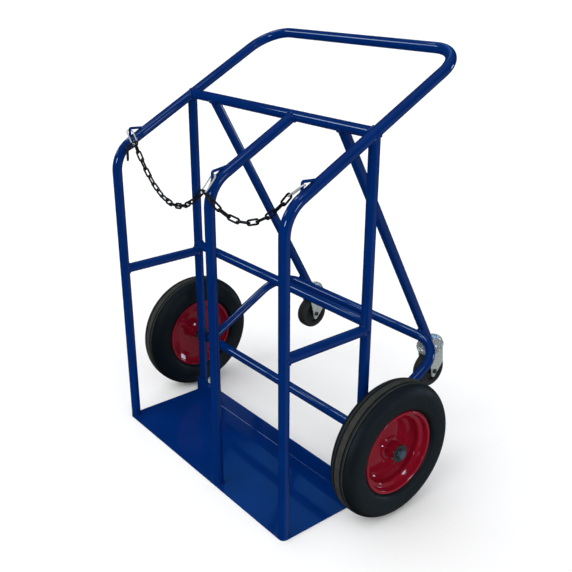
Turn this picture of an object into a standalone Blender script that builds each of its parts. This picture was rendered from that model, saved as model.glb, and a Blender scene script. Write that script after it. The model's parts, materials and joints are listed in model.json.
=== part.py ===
"""Gas cylinder cart: a welded tube frame on two large wheels, with two castors behind.

Metres, +Z up, +X to the right of the cart, the loading side at -Y. The origin is on the floor,
midway between the two front tubes. The cart stands on its toe plate and its two large wheels. The
castors hang clear of the floor until the cart is tilted back onto them.
"""
import math

import bmesh
import bpy
from mathutils import Matrix
from mathutils import Vector

# Gaps between pieces
GAP = 0.0003
HOOK_PLAY = 0.0008

# Frame tubes
TUBE_R = 0.015
TUBE_WALL = 0.002
BEND_R = 0.100
HALF_WIDTH = 0.4075
BEND_Z = 0.9282
SLOPE = math.radians(28.14)
HANDLE_Y = 0.609
REAR_Y = 0.285
POST_X = 0.0965
MID_BAR_Z = 0.5715
SIDE_RAIL_Z = 0.549
CASTOR_FRAME_X = 0.3943
CASTOR_FRAME_Y = 0.6388
CASTOR_FRAME_SLOPE = math.radians(28.54)
STRUT_X = 0.289
STRUT_TAIL = 0.0548

# Toe plate
PLATE_T = 0.004
PLATE_EDGE = 0.0005
PLATE_FOLD_R = 0.003
UPSTAND_Z = 0.059

# Chain eyes, bent from round rod
EYE_ROD_R = 0.004
EYE_BEND_R = 0.005
EYE_HEIGHT = 0.024
EYE_RUN = 0.040
SIDE_EYE_Y = 0.053
MIDDLE_EYE_Y = 0.0125
SIDE_HANG = 0.0125
MIDDLE_HANG = 0.008

# Large wheels
TYRE_R = 0.2055
TYRE_HALF_WIDTH = 0.0464
TYRE_WALL = 0.010
TREAD_BAND_HALF = 0.009
TREAD_GROOVE_WIDTH = 0.004
TREAD_GROOVE_DEPTH = 0.0035
WHEEL_CLEARANCE = 0.0254
RIM_LIP_HEIGHT = 0.0079
RIM_HALF_WIDTH = 0.0355
RIM_SEAT_R = 0.1194
RIM_WALL = 0.003
RIM_DISC_STEP = 0.0186
RIM_DISC_INSET = 0.0045
RIM_DISC_DROP = 0.0135
HUB_R = 0.025
HUB_ROOT_R = 0.036
HUB_HALF_LENGTH = 0.035
BEARING_WALL = 0.004
WHEEL_WASHER_R = 0.0268
WHEEL_WASHER_T = 0.003

# Axle and its end bolts
AXLE_CLEARANCE = 0.0005
END_BOLT_R = 0.008
END_BOLT_LENGTH = 0.028
END_BOLT_HEAD_R = 0.0139
END_BOLT_HEAD_H = 0.011

# Castors, measured from the swivel head down the swivel axis
CASTOR_HEAD_R = 0.043
CASTOR_HEAD_H = 0.013
CASTOR_HEAD_WALL = 0.004
CASTOR_CUP_R = 0.032
CASTOR_CUP_H = 0.0165
CASTOR_DROP = 0.0815
CASTOR_TRAIL = 0.0415
FORK_HALF_WIDTH = 0.0256
FORK_T = 0.003
FORK_CORNER_R = 0.007
FORK_SHOULDER_DROP = 0.022
FORK_HEEL_LIFT = 0.005
FORK_TIP_TRAIL = 0.0075
FORK_TIP_DROP = 0.0135
KING_BOLT_R = 0.009
KING_NUT_R = 0.014
KING_NUT_H = 0.007
STEM_LENGTH = 0.045
CASTOR_WHEEL_R = 0.0575
CASTOR_WHEEL_HALF_WIDTH = 0.019
CASTOR_CORE_R = 0.041
CASTOR_HUB_R = 0.012
CASTOR_AXLE_R = 0.005
CASTOR_BOLT_HEAD_R = 0.0085
CASTOR_BOLT_HEAD_H = 0.005
CASTOR_NUT_H = 0.006

# Snap hooks
HOOK_WIRE_R = 0.002
HOOK_CLEAR = 0.015
HOOK_LENGTH = 0.060
HOOK_GATE_START = 0.012
HOOK_GATE_LENGTH = 0.020
MIDDLE_HOOK_LEAN = math.radians(42)
SIDE_HOOK_DROP = math.radians(38)

# Chain
LINK_WIRE_R = 0.00225
LINK_INNER_LENGTH = 0.032
LINK_WIDTH = 0.018
LINK_BITE = 0.001
LEFT_SAG = 0.112
RIGHT_SAG = 0.070

# How finely round shapes are divided
TUBE_SIDES = 16
CUTTER_SIDES = 32
BEND_STEPS = 6
CORNER_STEPS = 6
ROD_SIDES = 8
WIRE_SIDES = 6
WIRE_BEND_STEPS = 3
LINK_SIDES = 5
LINK_END_STEPS = 4
WHEEL_SEGMENTS = 28
SHOULDER_STEPS = 5
HUB_SEGMENTS = 20
CASTOR_SEGMENTS = 20
BOLT_SEGMENTS = 12
HEX_SIDES = 6
CHAIN_SAMPLES = 400

# Places that follow from the sizes above
TUBE_BORE_R = TUBE_R - TUBE_WALL
FRAME_FOOT_Z = PLATE_T + GAP
BACK_Z = BEND_Z + REAR_Y * math.tan(SLOPE)
HANDLE_Z = BEND_Z + HANDLE_Y * math.tan(SLOPE)
AXLE_Y = REAR_Y + 2 * TUBE_R + GAP
AXLE_Z = TYRE_R
AXLE_R = TUBE_BORE_R - AXLE_CLEARANCE
CASTOR_FRAME_Z = AXLE_Z + (CASTOR_FRAME_Y - AXLE_Y) * math.tan(CASTOR_FRAME_SLOPE)
PLATE_HALF_WIDTH = HALF_WIDTH + TUBE_R + PLATE_EDGE
PLATE_FRONT_Y = -TUBE_R - PLATE_EDGE
PLATE_BACK_Y = REAR_Y - TUBE_R - GAP
WHEEL_X = HALF_WIDTH + TUBE_R + WHEEL_CLEARANCE + TYRE_HALF_WIDTH
HUB_BORE_R = AXLE_R + BEARING_WALL + 2 * GAP
RIM_LIP_R = RIM_SEAT_R + RIM_LIP_HEIGHT
RIM_WELL_R = RIM_SEAT_R - 5 * RIM_WALL
RIM_DISC_R = RIM_WELL_R - RIM_DISC_STEP
AXLE_TUBE_END = WHEEL_X - HUB_HALF_LENGTH - WHEEL_WASHER_T - 2 * GAP
AXLE_END = WHEEL_X + HUB_HALF_LENGTH
LINK_PITCH = LINK_INNER_LENGTH + LINK_BITE
HOOK_HALF_WIDTH = HOOK_CLEAR / 2 + HOOK_WIRE_R

COLOURS = {
    "blue_paint": ((0.004, 0.022, 0.150, 1.0), 0.28, 0.0),
    "red_paint": ((0.190, 0.008, 0.014, 1.0), 0.30, 0.0),
    "tyre_rubber": ((0.013, 0.014, 0.015, 1.0), 0.62, 0.0),
    "castor_rubber": ((0.016, 0.016, 0.017, 1.0), 0.58, 0.0),
    "core_plastic": ((0.010, 0.011, 0.012, 1.0), 0.42, 0.0),
    "zinc": ((0.560, 0.580, 0.580, 1.0), 0.32, 0.9),
    "steel": ((0.340, 0.350, 0.360, 1.0), 0.35, 1.0),
    "bearing_plastic": ((0.500, 0.490, 0.450, 1.0), 0.50, 0.0),
    "black_chain": ((0.010, 0.010, 0.011, 1.0), 0.45, 0.2),
}
SMOOTH_ANGLE = math.radians(35)
UP = Vector((0, 0, 1))


def clear_scene():
    """Remove whatever the file starts with."""
    for thing in list(bpy.data.objects):
        bpy.data.objects.remove(thing, do_unlink=True)


def material(name):
    """Return the named material, made once."""
    if name in bpy.data.materials:
        return bpy.data.materials[name]
    colour, roughness, metallic = COLOURS[name]
    finish = bpy.data.materials.new(name)
    finish.use_nodes = True
    shader = finish.node_tree.nodes["Principled BSDF"]
    shader.inputs["Base Color"].default_value = colour
    shader.inputs["Roughness"].default_value = roughness
    shader.inputs["Metallic"].default_value = metallic
    finish.diffuse_color = colour
    return finish


def empty(name, parent, location, rotation=(0, 0, 0)):
    """Return an empty that carries pieces or marks an axis."""
    holder = bpy.data.objects.new(name, None)
    holder.empty_display_size = 0.05
    holder.location = location
    holder.rotation_euler = rotation
    holder.parent = parent
    bpy.context.collection.objects.link(holder)
    return holder


def piece(name, bm, finish, parent, matrix=Matrix()):
    """Turn a bmesh into one named object."""
    bmesh.ops.recalc_face_normals(bm, faces=bm.faces)
    mesh = bpy.data.meshes.new(name)
    bm.to_mesh(mesh)
    bm.free()
    mesh.shade_smooth()
    mesh.set_sharp_from_angle(angle=SMOOTH_ANGLE)
    mesh.materials.append(material(finish))
    thing = bpy.data.objects.new(name, mesh)
    thing.parent = parent
    thing.matrix_local = matrix
    bpy.context.collection.objects.link(thing)
    return thing


def helper(name, bm, parent):
    """Return a hidden shape that another piece is cut by or joined with."""
    thing = piece(name, bm, "steel", parent)
    thing.hide_render = True
    thing.display_type = "WIRE"
    return thing


def combine(thing, other, operation):
    """Cut, join or keep the common part of two shapes."""
    modifier = thing.modifiers.new(operation.lower(), "BOOLEAN")
    modifier.operation = operation
    modifier.solver = "EXACT"
    modifier.object = other


def stitch(bm, first, second):
    """Join two rings with faces; one may have a whole number of times the vertices of the other."""
    count = min(len(first), len(second))
    for index in range(count):
        after = (index + 1) % count
        span = []
        for ring in (first, second):
            step = len(ring) // count
            span.append([ring[(index * step + k) % len(ring)] for k in range(step)] + [ring[after * step]])
        bm.faces.new(span[0] + span[1][::-1])


def skin(rings, loop):
    """Return a closed body over rings of points, either a loop of rings or capped at both ends."""
    bm = bmesh.new()
    made = [[bm.verts.new(point) for point in ring] for ring in rings]
    for first, second in zip(made, made[1:]):
        stitch(bm, first, second)
    if loop:
        stitch(bm, made[-1], made[0])
    else:
        bm.faces.new(made[0])
        bm.faces.new(made[-1])
    return bm


def circle(centre, across, along, radius, sides):
    """Return the points of a circle in the plane of two unit vectors."""
    points = []
    for index in range(sides):
        angle = 2 * math.pi * index / sides
        points.append(centre + across * (radius * math.cos(angle)) + along * (radius * math.sin(angle)))
    return points


def turned(profile, segments, loop=True):
    """Return a body turned round Z from points of radius and height."""
    sides = Vector((1, 0, 0)), Vector((0, 1, 0))
    rings = [circle(Vector((0, 0, height)), *sides, radius, segments) for radius, height in profile]
    return skin(rings, loop)


def rounded_path(points, radius, steps):
    """Return stations, each a point and a direction, along straight runs joined by round bends."""
    points = [Vector(point) for point in points]
    first = (points[1] - points[0]).normalized()
    path = [(points[0], first)]
    for before, corner, after in zip(points, points[1:], points[2:]):
        incoming = (corner - before).normalized()
        outgoing = (after - corner).normalized()
        turn = incoming.angle(outgoing)
        axis = incoming.cross(outgoing).normalized()
        start = corner - incoming * (radius * math.tan(turn / 2))
        centre = start + axis.cross(incoming) * radius
        for step in range(steps + 1):
            spin = Matrix.Rotation(turn * step / steps, 3, axis)
            path.append((centre + spin @ (start - centre), spin @ incoming))
    last = (points[-1] - points[-2]).normalized()
    path.append((points[-1], last))
    return path


def path_rings(path, radius, sides):
    """Return one ring of points for each station, without twist."""
    direction = path[0][1]
    across = Vector((1, 0, 0))
    if abs(direction.x) > 0.7:
        across = Vector((0, 1, 0))
    rings = []
    for point, direction in path:
        across = (across - direction * across.dot(direction)).normalized()
        rings.append(circle(point, across, direction.cross(across), radius, sides))
    return rings


def tube(path):
    """Return a frame tube with an open bore."""
    bore_sides = TUBE_SIDES // 2
    outer = path_rings(path, TUBE_R, TUBE_SIDES)
    inner = path_rings(path, TUBE_BORE_R / math.cos(math.pi / bore_sides), bore_sides)
    return skin(outer + inner[::-1], True)


def straight(start, end):
    """Return the stations of a straight run."""
    return rounded_path([start, end], 0, 0)


def tube_cutter(name, path, parent):
    """Return a solid that follows a tube and clears it by the usual gap."""
    radius = (TUBE_R + GAP) / math.cos(math.pi / CUTTER_SIDES)
    return helper(name, skin(path_rings(path, radius, CUTTER_SIDES), False), parent)


def rod_x(name, radius, half_length, centre, sides, parent):
    """Return a hidden rod along X."""
    reach = Vector((half_length, 0, 0))
    rings = path_rings(straight(centre - reach, centre + reach), radius, sides)
    return helper(name, skin(rings, False), parent)


def hexagon_nut(radius, height, bore):
    """Return a nut on Z with its lower face at zero."""
    sides = Vector((1, 0, 0)), Vector((0, 1, 0))
    levels = Vector((0, 0, 0)), Vector((0, 0, height))
    outer = [circle(level, *sides, radius, HEX_SIDES) for level in levels]
    inner = [circle(level, *sides, bore, BOLT_SEGMENTS) for level in levels]
    return skin(outer + inner[::-1], True)


def hexagon_bolt(head_radius, head_height, shank_radius, shank_length):
    """Return a bolt on Z, with its head above zero and its shank below."""
    sides = Vector((1, 0, 0)), Vector((0, 1, 0))
    zero = Vector((0, 0, 0))
    tip = Vector((0, 0, -shank_length))
    rings = [
        circle(Vector((0, 0, head_height)), *sides, head_radius, HEX_SIDES),
        circle(zero, *sides, head_radius, HEX_SIDES),
        circle(zero, *sides, shank_radius, BOLT_SEGMENTS),
        circle(tip, *sides, shank_radius, BOLT_SEGMENTS),
    ]
    return skin(rings, False)


def front_path(x, end_y):
    """Return corner points of a front tube that rises and then slopes back."""
    end_z = BEND_Z + end_y * math.tan(SLOPE)
    return [(x, 0, FRAME_FOOT_Z), (x, 0, BEND_Z), (x, end_y, end_z)]


def make_frame(root):
    """Make the welded tubes."""
    left_run = front_path(-HALF_WIDTH, HANDLE_Y)
    right_run = front_path(HALF_WIDTH, HANDLE_Y)
    hoop_path = rounded_path(left_run + right_run[::-1], BEND_R, BEND_STEPS)
    piece("hoop", tube(hoop_path), "blue_paint", root)

    slope_cuts = {}
    upright_cuts = {}
    front_cuts = {}
    for side, x in (("left", -HALF_WIDTH), ("right", HALF_WIDTH)):
        slope = straight((x, 0, BEND_Z), (x, HANDLE_Y, HANDLE_Z))
        slope_cuts[side] = tube_cutter("cut_slope_" + side, slope, root)
        front = straight((x, 0, 0), (x, 0, BEND_Z))
        front_cuts[side] = tube_cutter("cut_front_" + side, front, root)
        upright = straight((x, REAR_Y, FRAME_FOOT_Z), (x, REAR_Y, BACK_Z))
        upright_cuts[side] = tube_cutter("cut_upright_" + side, upright, root)
        post = piece("upright_" + side, tube(upright), "blue_paint", root)
        combine(post, slope_cuts[side], "DIFFERENCE")

    upper = straight((-HALF_WIDTH, REAR_Y, BACK_Z), (HALF_WIDTH, REAR_Y, BACK_Z))
    upper_bar = piece("upper_cross_bar", tube(upper), "blue_paint", root)
    middle = straight((-HALF_WIDTH, REAR_Y, MID_BAR_Z), (HALF_WIDTH, REAR_Y, MID_BAR_Z))
    mid_bar = piece("mid_cross_bar", tube(middle), "blue_paint", root)
    mid_cut = tube_cutter("cut_mid_bar", middle, root)
    for side, x in (("left", -HALF_WIDTH), ("right", HALF_WIDTH)):
        combine(upper_bar, slope_cuts[side], "DIFFERENCE")
        combine(upper_bar, upright_cuts[side], "DIFFERENCE")
        combine(mid_bar, upright_cuts[side], "DIFFERENCE")
        rail_path = straight((x, 0, SIDE_RAIL_Z), (x, REAR_Y, SIDE_RAIL_Z))
        rail = piece("side_rail_" + side, tube(rail_path), "blue_paint", root)
        combine(rail, front_cuts[side], "DIFFERENCE")
        combine(rail, upright_cuts[side], "DIFFERENCE")
        combine(rail, mid_cut, "DIFFERENCE")

    upper_cut = tube_cutter("cut_upper_bar", upper, root)
    post_path = rounded_path(front_path(POST_X, REAR_Y), BEND_R, BEND_STEPS)
    post = piece("middle_post", tube(post_path), "blue_paint", root)
    combine(post, upper_cut, "DIFFERENCE")

    axle_path = straight((-AXLE_TUBE_END, AXLE_Y, AXLE_Z), (AXLE_TUBE_END, AXLE_Y, AXLE_Z))
    piece("axle_tube", tube(axle_path), "blue_paint", root)
    axle_cut = tube_cutter("cut_axle_tube", axle_path, root)
    corners = [
        (-CASTOR_FRAME_X, AXLE_Y, AXLE_Z),
        (-CASTOR_FRAME_X, CASTOR_FRAME_Y, CASTOR_FRAME_Z),
        (CASTOR_FRAME_X, CASTOR_FRAME_Y, CASTOR_FRAME_Z),
        (CASTOR_FRAME_X, AXLE_Y, AXLE_Z),
    ]
    castor_frame = piece("castor_frame", tube(rounded_path(corners, BEND_R, CORNER_STEPS)), "blue_paint", root)
    combine(castor_frame, axle_cut, "DIFFERENCE")

    foot_y, foot_z = strut_foot()[0]
    for side, sign in (("left", -1), ("right", 1)):
        top = Vector((sign * STRUT_X, REAR_Y, BACK_Z))
        bottom = Vector((sign * STRUT_X, foot_y, foot_z))
        strut = piece("strut_" + side, tube(straight(top, bottom)), "blue_paint", root)
        combine(strut, upper_cut, "DIFFERENCE")


def strut_foot():
    """Return the lower end of a strut, as y and z, and its lean from upright.

    A strut hangs from the axis of the upper cross bar and touches the back of the castor frame.
    """
    reach_y = CASTOR_FRAME_Y - REAR_Y
    drop = BACK_Z - CASTOR_FRAME_Z
    distance = math.hypot(reach_y, drop)
    spacing = 2 * TUBE_R + GAP
    lean = math.atan2(reach_y, drop) + math.asin(spacing / distance)
    length = math.sqrt(distance**2 - spacing**2) + STRUT_TAIL
    return (REAR_Y + length * math.sin(lean), BACK_Z - length * math.cos(lean)), lean


def fold_arc(radius):
    """Return the points of one face of the toe plate's fold, from the floor up."""
    centre_y = PLATE_BACK_Y - PLATE_FOLD_R - PLATE_T
    centre_z = PLATE_FOLD_R + PLATE_T
    arc = []
    for step in range(WIRE_BEND_STEPS + 1):
        angle = math.pi / 2 * step / WIRE_BEND_STEPS
        arc.append((centre_y + radius * math.sin(angle), centre_z - radius * math.cos(angle)))
    return arc


def make_toe_plate(root):
    """Make the folded plate that the cylinders stand on, with its front corners round the tubes."""
    half = PLATE_HALF_WIDTH + PLATE_T
    front = PLATE_FRONT_Y - PLATE_T
    profile = [(front, PLATE_T), (front, 0)]
    profile += fold_arc(PLATE_FOLD_R + PLATE_T)
    profile += [(PLATE_BACK_Y, UPSTAND_Z), (PLATE_BACK_Y - PLATE_T, UPSTAND_Z)]
    profile += fold_arc(PLATE_FOLD_R)[::-1]
    ends = [[Vector((x, y, z)) for y, z in profile] for x in (-half, half)]
    plate = piece("toe_plate", skin(ends, False), "blue_paint", root)

    corner = TUBE_R + PLATE_EDGE
    back = PLATE_BACK_Y + PLATE_T
    outline = [(-PLATE_HALF_WIDTH, back), (PLATE_HALF_WIDTH, back)]
    for x, start in ((HALF_WIDTH, 0), (-HALF_WIDTH, -math.pi / 2)):
        for step in range(CORNER_STEPS + 1):
            angle = start - math.pi / 2 * step / CORNER_STEPS
            outline.append((x + corner * math.cos(angle), corner * math.sin(angle)))
    levels = [[Vector((x, y, z)) for x, y in outline] for z in (-PLATE_T, UPSTAND_Z + PLATE_T)]
    combine(plate, helper("plate_outline", skin(levels, False), root), "INTERSECT")


def tube_top(y):
    """Return the height of the top of a front tube at a given depth."""
    turn = math.pi / 2 - SLOPE
    centre_z = BEND_Z - BEND_R * math.tan(turn / 2)
    reach = BEND_R + TUBE_R
    if y > BEND_R - reach * math.sin(SLOPE):
        return BEND_Z + y * math.tan(SLOPE) + TUBE_R / math.cos(SLOPE)
    return centre_z + math.sqrt(reach**2 - (BEND_R - y) ** 2)


def eye_point(x, y, hang):
    """Return the point on an eye's front leg that a hook hangs on."""
    return Vector((x, y, tube_top(y) + hang))


def make_eye(name, x, y, root):
    """Make a rod eye welded on the top of a front tube."""
    corner_z = tube_top(y) + EYE_HEIGHT
    fall = (corner_z - tube_top(y + EYE_RUN)) / EYE_RUN
    reach = EYE_RUN + TUBE_R
    points = [(x, y, tube_top(y) - TUBE_R), (x, y, corner_z), (x, y + reach, corner_z - fall * reach)]
    path = rounded_path(points, EYE_BEND_R, WIRE_BEND_STEPS)
    eye = piece(name, skin(path_rings(path, EYE_ROD_R, ROD_SIDES), False), "blue_paint", root)
    tube_path = rounded_path(front_path(x, HANDLE_Y - BEND_R), BEND_R, BEND_STEPS)
    combine(eye, tube_cutter("cut_" + name, tube_path, root), "DIFFERENCE")


def make_axle(root):
    """Make the axle, with a tapped hole in each end."""
    hole = END_BOLT_R + GAP
    depth = AXLE_END - END_BOLT_LENGTH
    profile = [
        (hole, -depth),
        (hole, -AXLE_END),
        (AXLE_R, -AXLE_END),
        (AXLE_R, AXLE_END),
        (hole, AXLE_END),
        (hole, depth),
    ]
    turn = Matrix.Translation((0, AXLE_Y, AXLE_Z)) @ Matrix.Rotation(math.pi / 2, 4, "Y")
    piece("axle", turned(profile, HUB_SEGMENTS, False), "steel", root, turn)


def rim_profile():
    """Return the section of a rim's barrel, which carries the tyre."""
    lip = RIM_HALF_WIDTH
    seat_in = RIM_SEAT_R - RIM_WALL
    well_in = RIM_WELL_R - RIM_WALL
    return [
        (well_in, lip / 2 - 2 * RIM_WALL),
        (RIM_WELL_R, lip / 2),
        (seat_in, lip / 2 + RIM_WALL),
        (seat_in + RIM_WALL / 2, lip - RIM_WALL / 2),
        (RIM_LIP_R - RIM_WALL, lip),
        (RIM_LIP_R, lip - RIM_WALL),
        (RIM_SEAT_R, lip - 1.5 * RIM_WALL),
        (RIM_SEAT_R, lip / 2 + 2 * RIM_WALL),
        (RIM_WELL_R, lip / 2 - RIM_WALL),
        (RIM_WELL_R, -lip / 2 + RIM_WALL),
        (RIM_SEAT_R, -lip / 2 - 2 * RIM_WALL),
        (RIM_SEAT_R, -lip + 1.5 * RIM_WALL),
        (RIM_LIP_R, -lip + RIM_WALL),
        (RIM_LIP_R - RIM_WALL, -lip),
        (seat_in, -lip / 2 - 2 * RIM_WALL),
        (well_in, -lip / 2 + RIM_WALL),
    ]


def disc_profile():
    """Return the section of a wheel disc with its hub: a cone, deepest at its edge, inside the barrel."""
    disc = -RIM_DISC_INSET
    floor = disc - RIM_DISC_DROP
    edge = RIM_WELL_R - RIM_WALL - GAP
    return [
        (HUB_BORE_R, HUB_HALF_LENGTH),
        (HUB_R, HUB_HALF_LENGTH),
        (HUB_R, disc + 3 * RIM_WALL),
        (HUB_ROOT_R, disc),
        (RIM_DISC_R, floor),
        (RIM_DISC_R + 3 * RIM_WALL, floor + 2 * RIM_WALL),
        (edge, floor + 5 * RIM_WALL),
        (edge, floor + RIM_WALL),
        (RIM_DISC_R, floor - RIM_WALL),
        (HUB_R, disc),
        (HUB_R, -HUB_HALF_LENGTH),
        (HUB_BORE_R, -HUB_HALF_LENGTH),
    ]


def tyre_profile():
    """Return the section of a tyre, open towards the rim."""
    bead = RIM_SEAT_R + 2 * GAP
    bead_face = RIM_HALF_WIDTH - 1.5 * RIM_WALL - GAP
    bulge_r = (TYRE_R + RIM_LIP_R) / 2
    crown = TYRE_R - TREAD_GROOVE_DEPTH
    groove_end = TREAD_BAND_HALF + TREAD_GROOVE_WIDTH
    half = [
        (TYRE_R, TREAD_BAND_HALF),
        (crown, TREAD_BAND_HALF + TREAD_GROOVE_WIDTH / 4),
        (crown, groove_end - TREAD_GROOVE_WIDTH / 4),
        (TYRE_R - GAP, groove_end),
    ]
    for step in range(1, SHOULDER_STEPS + 1):
        angle = math.pi / 2 * step / SHOULDER_STEPS
        rise = (TYRE_R - bulge_r) * math.cos(angle)
        spread = (TYRE_HALF_WIDTH - TREAD_BAND_HALF) * math.sin(angle)
        half.append((bulge_r + rise, TREAD_BAND_HALF + spread))
    half += [
        (RIM_LIP_R + TYRE_WALL, TYRE_HALF_WIDTH - TYRE_WALL / 3),
        (RIM_LIP_R + 4 * GAP, bead_face),
        (bead, bead_face),
        (bead, bead_face - TYRE_WALL),
        (bulge_r, TYRE_HALF_WIDTH - TYRE_WALL),
        (TYRE_R - 1.5 * TYRE_WALL, TYRE_HALF_WIDTH - 2 * TYRE_WALL),
    ]
    return half + [(radius, -height) for radius, height in half[::-1]]


def make_wheel(side, sign, root):
    """Make one large wheel with what turns on and holds it to the axle."""
    hub = empty("wheel_axis_" + side, root, (sign * WHEEL_X, AXLE_Y, AXLE_Z), (0, sign * math.pi / 2, 0))
    piece("tyre_" + side, turned(tyre_profile(), WHEEL_SEGMENTS), "tyre_rubber", hub)
    piece("rim_" + side, turned(rim_profile(), WHEEL_SEGMENTS), "red_paint", hub)
    piece("wheel_disc_" + side, turned(disc_profile(), WHEEL_SEGMENTS), "red_paint", hub)
    bush_in = AXLE_R + GAP
    bush_out = HUB_BORE_R - GAP
    bush = [
        (bush_in, HUB_HALF_LENGTH),
        (bush_out, HUB_HALF_LENGTH),
        (bush_out, -HUB_HALF_LENGTH),
        (bush_in, -HUB_HALF_LENGTH),
    ]
    piece("wheel_bearing_" + side, turned(bush, HUB_SEGMENTS), "bearing_plastic", hub)

    washer_low = HUB_HALF_LENGTH + GAP
    for name, start, bore in (
        ("outer_washer_", washer_low, END_BOLT_R + GAP),
        ("inner_washer_", -washer_low - WHEEL_WASHER_T, AXLE_R + GAP),
    ):
        ring = [
            (bore, start + WHEEL_WASHER_T),
            (WHEEL_WASHER_R, start + WHEEL_WASHER_T),
            (WHEEL_WASHER_R, start),
            (bore, start),
        ]
        piece(name + side, turned(ring, HUB_SEGMENTS), "zinc", hub)
    seat = Matrix.Translation((0, 0, washer_low + WHEEL_WASHER_T + GAP))
    shank = END_BOLT_LENGTH - GAP
    bolt = hexagon_bolt(END_BOLT_HEAD_R, END_BOLT_HEAD_H, END_BOLT_R, shank)
    piece("axle_bolt_" + side, bolt, "steel", hub, seat)


def castor_head_profile():
    """Return the section of the round swivel head of a castor fork."""
    rim = CASTOR_HEAD_R
    wall = CASTOR_HEAD_WALL
    bore = KING_BOLT_R + GAP
    return [
        (bore, 0),
        (CASTOR_CUP_R + wall / 2, 0),
        (rim - wall / 2, 0),
        (rim, -wall / 2),
        (rim, -CASTOR_HEAD_H / 2 + wall / 4),
        (rim - wall / 4, -CASTOR_HEAD_H / 2),
        (rim, -CASTOR_HEAD_H / 2 - wall / 4),
        (rim, -CASTOR_HEAD_H),
        (rim - wall, -CASTOR_HEAD_H),
        (rim - wall - wall / 2, -wall),
        (bore, -wall),
    ]


def make_fork(side, swivel):
    """Make the castor fork: a round head with two tapered legs."""
    fork = piece("castor_fork_" + side, turned(castor_head_profile(), CASTOR_SEGMENTS), "zinc", swivel)
    top = -CASTOR_HEAD_WALL / 2
    chord = math.sqrt(CASTOR_HEAD_R**2 - FORK_HALF_WIDTH**2) - CASTOR_HEAD_WALL
    for end, sign in (("inner", -1), ("outer", 1)):
        bm = bmesh.new()
        for x in (sign * FORK_HALF_WIDTH, sign * (FORK_HALF_WIDTH - FORK_T)):
            for y in (-chord, chord):
                bm.verts.new((x, y, top))
                bm.verts.new((x, y, -FORK_SHOULDER_DROP))
            heel = Vector((x, 0, FORK_HEEL_LIFT - CASTOR_DROP))
            tip = Vector((x, -CASTOR_TRAIL - FORK_TIP_TRAIL, -CASTOR_DROP - FORK_TIP_DROP))
            for corner in (heel, tip):
                for point in circle(corner, Vector((0, 1, 0)), UP, FORK_CORNER_R, BOLT_SEGMENTS):
                    bm.verts.new(point)
        hull = bmesh.ops.convex_hull(bm, input=bm.verts)
        bmesh.ops.delete(bm, geom=list(set(hull["geom_interior"])), context="VERTS")
        combine(fork, helper("fork_leg_" + end + "_" + side, bm, swivel), "UNION")
    centre = Vector((0, -CASTOR_TRAIL, -CASTOR_DROP))
    hole = rod_x("cut_fork_" + side, CASTOR_AXLE_R + GAP, 2 * FORK_HALF_WIDTH, centre, BOLT_SEGMENTS, swivel)
    combine(fork, hole, "DIFFERENCE")


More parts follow.
